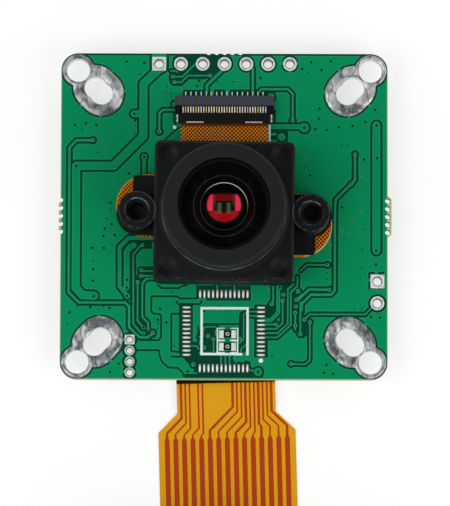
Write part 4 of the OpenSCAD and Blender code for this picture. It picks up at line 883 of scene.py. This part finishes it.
class SolderOperator(bpy.types.Operator):
    """Makes the solder on the corner pads, on the chip's lands and on the front connector's tails"""
    bl_idname = "board_camera.solder"
    bl_label = "Solder"

    def execute(self, context):
        tin = self.tin()
        plan = Plan(11.0, 19.4, 0.05)
        holes = plan.lines([(2.62, [(14.3, 14.3), (15, 15)]), (2.72, [(17, 17)])])
        field = np.maximum(plan.lines(corner_pad(1, 1)), -holes)
        levels = (-0.015, -0.1, -0.22)
        lines = [thinned(line, 0.01) for level in levels for line in plan.contour(field, level)]
        grid = np.arange(11.6, 19, 0.16)
        loose = [(x + 0.08 * math.sin(9 * y), y + 0.08 * math.cos(11 * x)) for x in grid for y in grid]
        loose = [p for p in loose if plan.at(field, *p) < -0.2]
        for quarter, letter in enumerate("abcd"):
            self.corner("corner_solder_" + letter, plan, field, lines, loose, quarter, tin)
        self.beads()
        return {"FINISHED"}

    def tin(self):
        """Solder with painted reflections: pale and dark patches and dark veins are painted into its colour,
        as if it mirrored pale and dark surroundings.
        """
        tin = Finish("solder", shown(settings("board").tin), Metallic=0.35)
        patch = tin.speckle(2.2, 2)
        reflection_vein = tin.speckle(1.5, 2, (1, 0.45, 1))
        reflection_streak = tin.speckle(0.7, 4, (1, 0.5, 1)).ease(0.46, 0.54)
        # painted reflections: pale and dark patches of the surroundings, broken by streaks
        pale = tin.blend(patch.ease(0.42, 0.58), (106, 114, 120), (222, 223, 221))
        other = tin.blend(patch.ease(0.5, 0.52), (196, 200, 202), (120, 127, 132))
        pale = tin.blend(reflection_streak * 0.5, pale, other)
        # painted reflections: dark veins over the patches
        tin.set("Base Color", tin.blend(abs(reflection_vein - 0.5).ease(0.04, 0.015) * 0.6, pale, (52, 60, 66)))
        tin.set("Roughness", 0.2 + 0.2 * patch)
        tin.bump(patch, 0.02)
        return tin

    def corner(self, name, plan, field, lines, loose, quarter, tin):
        """Solder that swells over the corner's ring, made at +X +Y and then turned by quarters."""
        foot, rim, swell, lump, slope = 0.055, 0.06, 0.17, 0.09, 0.28

        def height(x, y):
            depth = np.clip(-plan.at(field, x, y), 0, None)
            lumps = np.array([noise.fractal(Vector((a * 0.8, b * 0.8, quarter * 7.3)), 1.0, 2.0, 2)
                              for a, b in zip(x, y)])
            return rim + (swell + lump * lumps) * (1 - np.exp(-depth / slope))

        mesh, _, _ = sheet_of(name, lines, loose, lambda x, y: plan.at(field, x, y) < -0.012, height, foot)
        turn = quarter * math.pi / 2
        for vertex in mesh.vertices:
            x, y, z = vertex.co
            vertex.co = (x * math.cos(turn) - y * math.sin(turn), x * math.sin(turn) + y * math.cos(turn), z)
        smooth(mesh)
        link(name, mesh, tin, "board")

    def beads(self):
        """A drop on each land of the chip and on each tail of the front connector."""
        per_side, pitch, inset, land_z = 12, 0.5, 0.5, 0.05
        low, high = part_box("chip_lands")
        middle, reach = (low + high) / 2 / MM, (high - low).x / 2 / MM - inset
        lands, turns = [], []
        for side in range(4):
            sine, cosine = math.sin(side * math.pi / 2), math.cos(side * math.pi / 2)
            for i in range(per_side):
                slide = (i - (per_side - 1) / 2) * pitch
                lands.append((middle.x + reach * sine + slide * cosine,
                              middle.y - reach * cosine + slide * sine, land_z))
                turns.append(side * 90)
        tail_count, tail_pitch, tail_y, tail_z = 16, 0.6, 14.27, 0.07
        tails = [((i - (tail_count - 1) / 2) * tail_pitch, tail_y, tail_z) for i in range(tail_count)]
        bright = Finish("bright_solder", (240, 248, 246), Metallic=0.15)
        x, y, z = bright.place()
        # painted shade: each drop darkens from its pale top toward its foot
        bright.set("Base Color", bright.blend(z.ease(0.07, 0.125), (96, 94, 84), (240, 248, 246)))
        bright.roughen(0.2, 0.2, 0.2)
        for name, spots, spins, size in (("land_solder", lands, turns, 0.5),
                                         ("tail_solder", tails, [0] * tail_count, 0.3)):
            mesh = scattered(name, spots, [1.0] * len(spots), spins, bead, size, bright)
            smooth(mesh)
            link(name, mesh, bright, "board")


# ---------------------------------------------------------------- ribbon cable

# Sizes of the ribbon in millimetres
INSIDE = 2.3            # how far it reaches into its connector
NARROW, WIDE = 11.5, 16
CONDUCTORS = 15
COPPER_RISE = 0.018     # how far the film stands up over a conductor


def ribbon_line():
    """Points of the ribbon's centreline in millimetres, as (along, up) in the ribbon's own frame, from its
    end in the connector to its free end."""
    look = settings("ribbon")
    lift, roll_y, roll_r, tightening = 0.83, 27.0, 8.4, 0.36
    thick = look.thickness / MM
    # it leaves the connector above the floor and comes down to lie flat: (along, share of the lift)
    flat = [(-INSIDE, 1), (0, 1), (0.6, 0.98), (1.4, 0.85), (2.4, 0.6), (3.4, 0.35), (4.1, 0.2), (5, 0.1),
            (6.1, 0.03), (8, 0), (12, 0), (16, 0), (20, 0), (24, 0), (27, 0)]
    ys, shares = np.array(flat).T
    points = [(y, float(np.interp(y, ys, shares)) * lift + thick / 2)
              for y in (*np.arange(-INSIDE, 3, 0.25), *np.arange(3, 7.2, 0.1), *np.arange(7.2, roll_y, 1.0))]
    stiff, bend_r, bend, steps = 5.0, 4.0, math.radians(20), 90
    wound, left = 0.0, look.length / MM - roll_y - stiff - bend * bend_r
    while left > 0:
        radius = roll_r - thick / 2 - tightening * wound
        heading = 2 * math.pi * wound
        points.append((roll_y + radius * math.sin(heading), roll_r - radius * math.cos(heading)))
        wound += 1 / steps
        left -= 2 * math.pi * radius / steps
    # the stiffened end lies straight across the inside of the roll, after a short bend
    for stride, turn in ((bend * bend_r / 8, bend / 8), (stiff / 8, 0)):
        for _ in range(8):
            heading += turn
            y, z = points[-1]
            points.append((y + stride * math.cos(heading), z + stride * math.sin(heading)))
    return np.array(points)


def ribbon_place(points):
    """From the ribbon's own frame, which starts at the connector's mouth, to the board's, in millimetres."""
    mouth_x, mouth_y, floor_z, turn = 0.25, -18.9, -3.6, math.radians(1.6 + 180)
    x = points[..., 0] * math.cos(turn) - points[..., 1] * math.sin(turn) + mouth_x
    y = points[..., 0] * math.sin(turn) + points[..., 1] * math.cos(turn) + mouth_y
    return np.stack([x, y, points[..., 2] + floor_z], -1)


def ribbon_tap(k):
    """Where conductor k leaves the connector, where it then runs, across the ribbon, and how wide it starts.
    Of the connector's 22 contacts, 0.5 mm apart, the first 3, 2 after a gap and the last 10 are in use."""
    i = CONDUCTORS - 1 - k
    contact = i if i < 3 else i + 1 if i < 5 else i + 7
    return 5.25 - 0.5 * contact, 7.0 - i, 0.33 if i in (0, 5, 8, 11, 14) else 0.22


def ribbon_row(y, bar):
    """Places across the ribbon at one distance along it, and which of them lie on a conductor."""
    half = np.interp(y, [3.8, 6.0], [NARROW / 2, WIDE / 2])
    across, raised = [-half], [0]
    for k in range(CONDUCTORS):
        # each conductor jogs at 45 degrees from its contact to its place in the wide part
        near, far, slim = ribbon_tap(k)
        stop = 6.5 - 0.22 * (far - near) if far > near else 5.5
        start = stop - abs(far - near)
        middle = np.interp(y, [start, stop], [near, far])
        slant = 1.35 if start + 0.08 < y < stop - 0.08 else 1.0
        wide = np.interp(y, [6.65, 6.95], [slim, bar]) * slant
        for side, level in ((-1, 0), (-0.86, 1), (0.86, 1), (1, 0)):
            across.append(middle + side * wide / 2)
            raised.append(level)
    return across + [half], raised + [0]


class RibbonOperator(bpy.types.Operator):
    """Makes the ribbon cable, with its conductors, in place of the plain solids"""
    bl_idname = "board_camera.ribbon"
    bl_label = "Ribbon cable"

    def execute(self, context):
        look = settings("ribbon")
        line = ribbon_line()
        tangent = np.gradient(line, axis=0)
        tangent /= np.linalg.norm(tangent, axis=1)[:, None]
        up = np.stack([-tangent[:, 1], tangent[:, 0]], 1)
        ribbon = link("ribbon", self.band(look, line, up), self.film(look), "board")
        stiffener = self.stiffener()
        tip = self.end_plate(look.thickness / MM, line[-1], tangent[-1], up[-1])
        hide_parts("ribbon_cable", "ribbon_roll")
        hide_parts("ribbon_connector_stiffener")
        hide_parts("ribbon_end_stiffener")
        return {"FINISHED"}

    def band(self, look, line, up):
        """The film as a closed skin of two faces, a wall along each edge and one at each end."""
        walked = np.concatenate([[0], np.cumsum(np.linalg.norm(np.diff(line, axis=0), axis=1))]) + line[0, 0]
        across, raised = np.array([ribbon_row(y, look.bar / MM) for y in walked]).swapaxes(0, 1)
        rows, width = across.shape
        total = rows * width
        points, copper = [], []
        for face, rise in ((1, COPPER_RISE), (-1, 0.0)):
            offset = face * (look.thickness / MM / 2 - COPPER_RISE) + face * rise * raised
            grid = np.stack([across, line[:, None, 0] + up[:, None, 0] * offset,
                             line[:, None, 1] + up[:, None, 1] * offset], -1)
            points.append(ribbon_place(grid).reshape(-1, 3))
            copper.append(raised.ravel())
        faces = []

        def wall(a, b, flip):
            side = (a, total + a, total + b, b)
            faces.append(side[::-1] if flip else side)

        for start in range(0, total - width, width):
            for a in range(start, start + width - 1):
                b, c, d = a + 1, a + width + 1, a + width
                faces += [(a, d, c, b), (total + a, total + b, total + c, total + d)]
            wall(start, start + width, False)
            wall(start + width - 1, start + 2 * width - 1, True)
        for start, flip in ((0, True), (total - width, False)):
            for a in range(start, start + width - 1):
                wall(a, a + 1, flip)
        mesh = from_lists("ribbon", np.concatenate(points), faces)
        face_outward(mesh)
        store(mesh, "copper", np.concatenate(copper))
        return mesh

    def film(self, look):
        """Yellow film that shows brown over the conductors."""
        film = Finish("ribbon_film", shown(look.film), Specular_IOR_Level=0.2)
        cloud = film.speckle(3, 2)
        base = film.blend(cloud * 0.35, shown(look.film), (236, 178, 24))
        over = film.attribute("copper").ease(0.2, 0.8)
        film.set("Base Color", film.blend(over, base, shown(look.conductor)))
        film.set("Roughness", 0.26 + 0.12 * cloud)
        return film

    def stiffener(self):
        """The plate that backs the ribbon in the board's connector, just seen at the board's edge."""
        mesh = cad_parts["ribbon_connector_stiffener"].data.copy()
        black = Finish("ribbon_stiffener", (16, 14, 12), Specular_IOR_Level=0.1)
        black.roughen(0.38, 0.12, 0.6)
        return link("ribbon_stiffener", mesh, black, "board")

    def end_plate(self, thick, end, along, out):
        """The blue plate that backs the free end, and the bare contacts on the other face."""
        points, faces = [], []

        def block(x0, x1, back, front, low, high):
            start = len(points)
            for x in (x0, x1):
                for s in (back, front):
                    for h in (low, high):
                        points.append((x, *(end + along * s + out * h)))
            for f in ((0, 1, 3, 2), (4, 6, 7, 5), (0, 4, 5, 1), (2, 3, 7, 6), (0, 2, 6, 4), (1, 5, 7, 3)):
                faces.append([start + i for i in f])

        block(-WIDE / 2, WIDE / 2, -5, 0.02, thick / 2 - 0.01, thick / 2 + 0.24)
        plate_faces = len(faces)
        for k in range(CONDUCTORS):
            middle = k - (CONDUCTORS - 1) / 2
            block(middle - 0.35, middle + 0.35, -3.6, 0.0, -thick / 2 - 0.02, -thick / 2 + 0.03)
        mesh = from_lists("ribbon_end", ribbon_place(np.array(points)), faces)
        blue = Finish("blue_film", (28, 74, 158))
        blue.roughen(0.35, 0.15, 1.2)
        gold = Finish("contact_gold", (226, 178, 88), Metallic=1.0)
        gold.roughen(0.16, 0.16, 0.3)
        piece = link("ribbon_end", mesh, blue, "board")
        mesh.materials.append(gold.material)
        for i, polygon in enumerate(mesh.polygons):
            polygon.material_index = int(i >= plate_faces)
        face_outward(mesh)
        return piece


# ---------------------------------------------------------------- finishes of the CAD nodes

# Finishes of one colour: name, colour, other sockets, roughness as (low, spread, size of its patches), nodes
EVEN = [
    ("land_copper", (118, 122, 110), {"Metallic": 0.3}, (0.24, 0.2, 0.2), ["chip_lands"]),
    ("bright_terminals", (240, 248, 246), {"Metallic": 0.15}, (0.2, 0.2, 0.2), ["resistor_terminals"]),
    ("barrel_black", (6, 6, 7), {"Specular_IOR_Level": 0.12}, (0.55, 0.2, 0.2),
     ["front_retaining_ring", "middle_spacer", "rear_retaining_ring", "aperture_stop"]),
    ("coated_glass", (4, 5, 8), {"Specular_IOR_Level": 0.04, "Alpha": 0.16}, (0.18, 0.04, 2),
     ["front_glass"]),
    ("clear_glass", (250, 250, 252), {"IOR": 1.45, "Transmission_Weight": 1.0}, (0.005, 0.01, 2),
     ["middle_glass", "rear_glass", "sensor_cover_glass", "infrared_filter"]),
    ("chip_package", (28, 28, 30), {}, (0.5, 0.2, 0.1), ["processor", "regulator_bodies", "image_sensor"]),
    ("oscillator_can", (176, 178, 182), {"Metallic": 1.0}, (0.3, 0.15, 0.4), ["oscillator"]),
]
# Finishes mottled between two colours: name, both colours, size of the patches, other sockets, nodes
MOTTLED = [
    ("legend_ink", (242, 252, 254), (228, 242, 240), 0.12, {"Roughness": 0.6}, ["board_legend"]),
    ("flex_backing", (88, 62, 30), (112, 82, 44), 0.4, {"Roughness": 0.5}, ["flex_stiffener"]),
    ("connector_cream", (214, 204, 180), (224, 216, 196), 1.2, {"Roughness": 0.45},
     ["rear_connector_housing"]),
    ("latch_grey", (50, 53, 62), (64, 68, 78), 0.2, {"Roughness": 0.5, "Specular_IOR_Level": 0.3},
     ["front_connector_latch", "rear_connector_latch"]),
    ("inductor_core", (50, 50, 52), (72, 72, 74), 0.15, {"Roughness": 0.6}, ["power_inductors"]),
    ("capacitor_ceramic", (142, 110, 78), (166, 136, 100), 0.3, {"Roughness": 0.5}, ["capacitor_bodies"]),
]
# Rows of plated holes: node, number of holes, their diameter in millimetres
HOLE_ROWS = [("header_holes", 7, 1.0), ("fine_header_holes", 4, 0.74), ("two_pin_holes", 2, 1.0)]


class FinishesOperator(bpy.types.Operator):
    """Gives every solid of the module its material"""
    bl_idname = "board_camera.finishes"
    bl_label = "Finishes"

    def execute(self, context):
        for name, colour, look, roughness, nodes in EVEN:
            finish = Finish(name, colour, **look)
            finish.roughen(*roughness)
            finish.dress(*nodes)
        for name, first, second, size, look, nodes in MOTTLED:
            finish = Finish(name, first, **look)
            finish.set("Base Color", finish.blend(finish.speckle(size), first, second))
            finish.dress(*nodes)
        for row in HOLE_ROWS:
            hole_row(*row)
        for make in (laminate, tinned_copper, connector_tab, resistor_body, flex_film,
                     moulded_black, anodised_black, spacer_black, painted_red_reflection,
                     connector_black, connector_contact, screw_steel):
            make()
        return {"FINISHED"}


def hole_row(node, count, hole):
    """Bright solder round each hole of a row, with a dark line of painted shade at the hole's edge."""
    row = Finish("solder_" + node, (236, 242, 242), Metallic=0.15)
    low, high = (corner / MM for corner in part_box(node))
    x, y, z = row.place()
    size, middle = high - low, (low + high) / 2
    along, start, across = (x, low.x, y - middle.y) if size.x > size.y else (y, low.y, x - middle.x)
    wide, length = sorted(size[:2])
    pitch = (length - wide) / (count - 1)
    slide = (along - start - wide / 2 + pitch / 2) % pitch - pitch / 2
    out = off_axis(slide, across) - hole / 2
    blotches = row.speckle(0.35, 2)
    tone = row.blend(blotches.ease(0.5, 0.62) * 0.5, (236, 242, 242), (150, 158, 156))
    # painted shade: a dark line at the hole's edge
    row.set("Base Color", row.blend(out.ease(0.11, 0.05), tone, (58, 64, 64)))
    row.set("Roughness", 0.2 + 0.2 * blotches)
    row.dress(node)


def laminate():
    """The board's core: its faces have the mask's colour, and its cut sides are bare."""
    look = settings("board")
    core = Finish("board_laminate", shown(look.mask))
    side = abs(core.upward()) < 0.5
    edge = core.blend(core.speckle(0.25, 2, (1, 1, 4)), shown(look.laminate), (206, 200, 132))
    core.set("Base Color", core.blend(side, shown(look.mask), edge))
    core.set("Roughness", 0.38 + 0.3 * side)
    core.dress("pcb")


def tinned_copper():
    tin = Finish("tinned_copper", shown(settings("board").tin), Metallic=0.4)
    grain = tin.speckle(0.5)
    tin.set("Roughness", 0.18 + 0.2 * grain)
    tin.bump(grain, 0.01)
    tin.dress("mounting_pads", "capacitor_terminals", "regulator_leads", "rear_connector_tabs")


def connector_tab():
    """The front connector's tabs, black but for a bright strip of metal on each."""
    strip_x = 5.47
    tab = Finish("connector_tab", (200, 202, 206), Metallic=0.3, Roughness=0.3)
    x, y, z = tab.place()
    strip = abs(abs(x) - strip_x).ease(0.11, 0.06)
    tab.set("Base Color", tab.blend(strip, (24, 25, 27), (240, 242, 244)))
    tab.dress("front_connector_tabs")


def resistor_body():
    """Black bodies with a printed nought in the middle of each."""
    body_length, nought_r = 0.8, 0.17
    chip = Finish("resistor_body", (20, 20, 22), Specular_IOR_Level=0.2)
    x, y, z = chip.place()
    low, high = (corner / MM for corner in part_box("resistor_bodies"))
    middle = (low + high) / 2
    along = abs(y - middle.y) - ((high - low).y - body_length) / 2
    from_line = abs(off_axis(x - middle.x, along) - nought_r)
    chip.set("Base Color", chip.blend(from_line.ease(0.08, 0.03), (20, 20, 22), (196, 198, 200)))
    chip.roughen(0.25, 0.2, 0.3)
    chip.dress("resistor_bodies")


def flex_film():
    """The sensor's flexible circuit: film over a net of copper, with a plain rim round each lobe, a painted
    highlight on the lobes' lower edges and a painted shadow at the end of the tail.
    """
    look = settings("flex")
    lobe_x, lobe_r, neck_x, straight_x, tail_y, lip_y = 8.85, 3.6, 7.95, 9.3, 8, 10.3
    film = Finish("flex_film", shown(look.film), Roughness=0.35, Specular_IOR_Level=0.12)
    x, y, z = film.place()
    pitch = look.pitch / MM
    # the copper is a net of slanting lines, and the film looks dark in its openings
    across = abs(((x + y) / pitch) % 1 - 0.5)
    along = abs(((x - y) / pitch) % 1 - 0.5)
    wire = 0.24 - 0.08 * (abs(x) > neck_x) - 0.05 * (y > tail_y)
    net = (wire - across.least(along)).ease(-0.03, 0.03)
    # the left lobe lies 1 mm above the middle, and the right one as far below it
    from_lobe = off_axis((abs(x) - lobe_x).most(0), x.maths("SIGN") * y + 1)
    net = net.most(from_lobe.ease(lobe_r - 0.06, lobe_r) * (abs(x) > 7.5))
    tone = film.blend(film.speckle(0.5), shown(look.film), (228, 126, 14))
    tone = film.blend(net, shown(look.dark), tone)
    # painted highlight along the lobes' lower edges, where the film's adhesive edge catches the light
    lobe_edge_highlight = from_lobe.ease(lobe_r, lobe_r + 0.07) * (abs(x) > straight_x) * (y < -0.5)
    tone = film.blend(lobe_edge_highlight * 0.6, tone, (244, 226, 176))
    # painted shadow at the end of the tail, where the connector's lip keeps the light off
    film.set("Base Color", film.blend(y.ease(lip_y, lip_y + 0.3) * 0.8, tone, shown(look.dark)))
    film.bump(net, 0.010)
    film.dress("sensor_flex")


def moulded_black():
    """The lens holder: grained black plastic with dust, scuffs low on the block, and painted highlights on
    the collar's rim and on the bosses' chamfers and outer edges.
    """
    plastic = Finish("moulded_black", shown(settings("lens").holder), Specular_IOR_Level=0.15)
    x, y, z = plastic.place()
    grain = plastic.speckle(0.12, 4)
    dust = plastic.speckle(0.22, 2).ease(0.74, 0.80)
    block_y, collar_r, collar_z = -7.6, 7.12, 10.05
    scuffs = plastic.speckle(0.16, 2).ease(0.60, 0.72) * 0.6 * (y < block_y) * (plastic.upward() > 0.3)
    patchy = 0.35 + 0.65 * plastic.speckle(1.6).ease(0.35, 0.65)
    # painted highlight on the collar's rim, in patches
    rim = off_axis(x, y).ease(collar_r - 0.14, collar_r) * (z > collar_z) * patchy
    # the bosses stand on a line that is turned a little; painted highlights lie in patches on their chamfers,
    # most on the upper side, and on their outer edges
    boss_x, holder_slope, chamfer_r, edge_r = 10, 0.016, 1.38, 2.10
    above = y + holder_slope * x
    from_boss = off_axis(abs(x) - boss_x, above)
    chamfer = abs(from_boss - chamfer_r).ease(0.12, 0.04) * (0.25 + 0.9 * above.ease(0.1, 0.8))
    edge = abs(from_boss - edge_r).ease(0.08, 0.03) * 0.4
    blotches = plastic.speckle(0.7, 2).ease(0.38, 0.60) * chamfer.most(edge)
    # pale marks: real dust and scuffs, together with the painted highlights
    pale = dust.most(scuffs).most(rim).most(blotches)
    tone = plastic.blend(grain, (11, 12, 14), (20, 21, 23))
    plastic.set("Base Color", plastic.blend(pale * 0.5, tone, (150, 156, 158)))
    plastic.set("Roughness", 0.42 + 0.18 * grain)
    plastic.bump(grain, 0.014)
    plastic.dress("lens_holder")


def anodised_black():
    """The lens barrel, with painted shade darkening its bore."""
    bore_r = 5.3
    barrel = Finish("anodised_black", shown(settings("lens").barrel), Specular_IOR_Level=0.15)
    x, y, z = barrel.place()
    grain = barrel.speckle(0.09, 4)
    # painted shade inside the bore
    inside = off_axis(x, y).ease(bore_r, bore_r - 0.06)
    barrel.set("Base Color", barrel.blend(inside, barrel.blend(grain, (20, 21, 22), (30, 31, 32)), (5, 5, 6)))
    barrel.set("Roughness", 0.38 + 0.16 * grain)
    barrel.bump(grain, 0.010)
    barrel.dress("lens_barrel")


def spacer_black():
    """The front spacer. Painted highlights, given as emission: its throat and mouth catch the light as thin
    rings, the throat's most at the top.
    """
    throat_r, mouth_r = 2.69, 3.46
    spacer = Finish("spacer_black", (6, 6, 7), Roughness=0.6, Specular_IOR_Level=0.1, Emission_Strength=0.8)
    x, y, z = spacer.place()
    out = off_axis(x, y)
    upper = ((0.35 * x + 0.94 * y) / throat_r).ease(0.1, 0.98)
    throat = abs(out - throat_r).ease(0.05, 0.01) * (0.06 + 0.94 * upper)
    mouth = abs(out - mouth_r).ease(0.05, 0.01)
    glint = spacer.blend(mouth, (0, 0, 0), (70, 60, 44))
    # painted highlights, given as emission
    spacer.set("Emission Color", spacer.blend(throat, glint, (246, 246, 238)))
    spacer.dress("front_spacer")


def painted_red_reflection():
    """Painted reflections, given as emission: the second glass throws back red, brightest in a lobe on either
    side, round the dark stop.
    """
    red = Finish("painted_red_reflection", (8, 6, 8), Roughness=0.2, Specular_IOR_Level=0.05, Emission_Strength=1.0)
    x, y, z = red.place()
    y, wide = y - 0.12, abs(x)
    sides = abs(wide - 1.1).ease(0.16, 0.06) * y.ease(-0.3, 0.1)
    bar_reflections = abs(wide - 0.52).ease(0.32, 0.12) * y.ease(0.34, 0.1) * y.ease(-1.1, -0.8)
    # painted reflections: red with a darker band at the top, brownish sides, greenish bars and a bright pink
    # lobe on either side
    tone = (14, 14, 9)
    for amount, colour in (((y + 0.95 - 0.25 * wide).ease(0.12, -0.06), shown(settings("lens").coating)),
                           (y.ease(0.35, 0.55) * wide.ease(1.3, 1.1), (124, 5, 10)),
                           (sides * 0.8, (92, 58, 34)),
                           (bar_reflections * 0.8, (84, 98, 66)),
                           (wide.ease(1.2, 1.34) * y.ease(-0.72, -0.56), (255, 50, 90))):
        tone = red.blend(amount, tone, colour)
    # the painted reflection shows only within this disc, and is dark outside it
    lit = off_axis(x, y).ease(2.04, 1.78) * y.ease(1.34, 1.08)
    red.set("Emission Color", red.blend(lit, (0, 0, 0), tone))
    red.dress("second_glass")


def connector_black():
    """The front connector's housing, with painted shade darkening it by its contacts, and a thin bright strip
    on each half's lip.
    """
    window_y, bright_x, bright_y = (11.86, 13.1), 3.42, 10.86
    body = Finish("connector_black", (14, 14, 16), Specular_IOR_Level=0.25)
    x, y, z = body.place()
    # painted shade between the contacts
    window = y.ease(window_y[0], window_y[0] + 0.06) * y.ease(window_y[1], window_y[1] - 0.1)
    bright = abs(abs(x) - bright_x).ease(1.03, 0.97) * abs(y - bright_y).ease(0.09, 0.05)
    tone = body.blend(window, (14, 14, 16), (3, 3, 4))
    body.set("Base Color", body.blend(bright, tone, (206, 208, 212)))
    body.roughen(0.18, 0.14, 0.5)
    body.dress("front_connector_housing")


def connector_contact():
    """Tinned contacts, of which each fourth one of the front connector looks gilt."""
    pitch, tails_y = 0.3, 13.2
    metal = Finish("connector_contacts", (240, 238, 232), Metallic=0.15)
    x, y, z = metal.place()
    gilt = (((x / pitch + 19.5) % 4) < 1) * (y < tails_y)
    metal.set("Base Color", metal.blend(gilt, (252, 252, 250), (250, 204, 104)))
    metal.roughen(0.24, 0.2, 0.2)
    metal.dress("front_connector_contacts", "rear_connector_contacts")


def screw_steel():
    """Bright zinc on the heads. The shanks are painted dark, as painted shade for the dark of the bosses they
    stand in.
    """
    head_z = -1.7
    steel = Finish("screw_steel", (196, 199, 204))
    x, y, z = steel.place()
    # painted shade: the shanks dark, matt and not metallic
    shank = z.ease(head_z - 0.05, head_z + 0.05)
    steel.set("Base Color", steel.blend(shank, (196, 199, 204), (7, 7, 8)))
    steel.set("Metallic", 1 - shank)
    steel.set("Roughness", 0.24 + 0.2 * steel.speckle(0.3) + 0.4 * (z > head_z))
    steel.dress("holder_screws")


# ---------------------------------------------------------------- panel and registration

OPERATORS = [StageOperator, RibbonOperator, MaskOperator, SolderOperator, FinishesOperator]


class BoardCameraPanel(bpy.types.Panel):
    """Lists the sizes, colours and steps of the board camera"""
    bl_label = "Board camera"
    bl_idname = "VIEW3D_PT_board_camera"
    bl_space_type = "VIEW_3D"
    bl_region_type = "UI"
    bl_category = "Board camera"

    def draw(self, context):
        for name, group in SETTINGS.items():
            box = self.layout.box()
            box.label(text=name.capitalize())
            for key in group.__annotations__:
                box.prop(settings(name), key)
        for operator in OPERATORS:
            self.layout.operator(operator.bl_idname)


def register():
    for group in SETTINGS.values():
        bpy.utils.register_class(group)
    for name, group in SETTINGS.items():
        setattr(bpy.types.Scene, "board_camera_" + name, bpy.props.PointerProperty(type=group))
    for entry in (*OPERATORS, BoardCameraPanel):
        bpy.utils.register_class(entry)


def unregister():
    for entry in reversed((*OPERATORS, BoardCameraPanel)):
        bpy.utils.unregister_class(entry)
    for name in SETTINGS:
        delattr(bpy.types.Scene, "board_camera_" + name)
    for group in SETTINGS.values():
        bpy.utils.unregister_class(group)


def main():
    register()
    for operator in OPERATORS:
        area, step = operator.bl_idname.split(".")
        getattr(getattr(bpy.ops, area), step)()


if __name__ == "__main__":
    main()
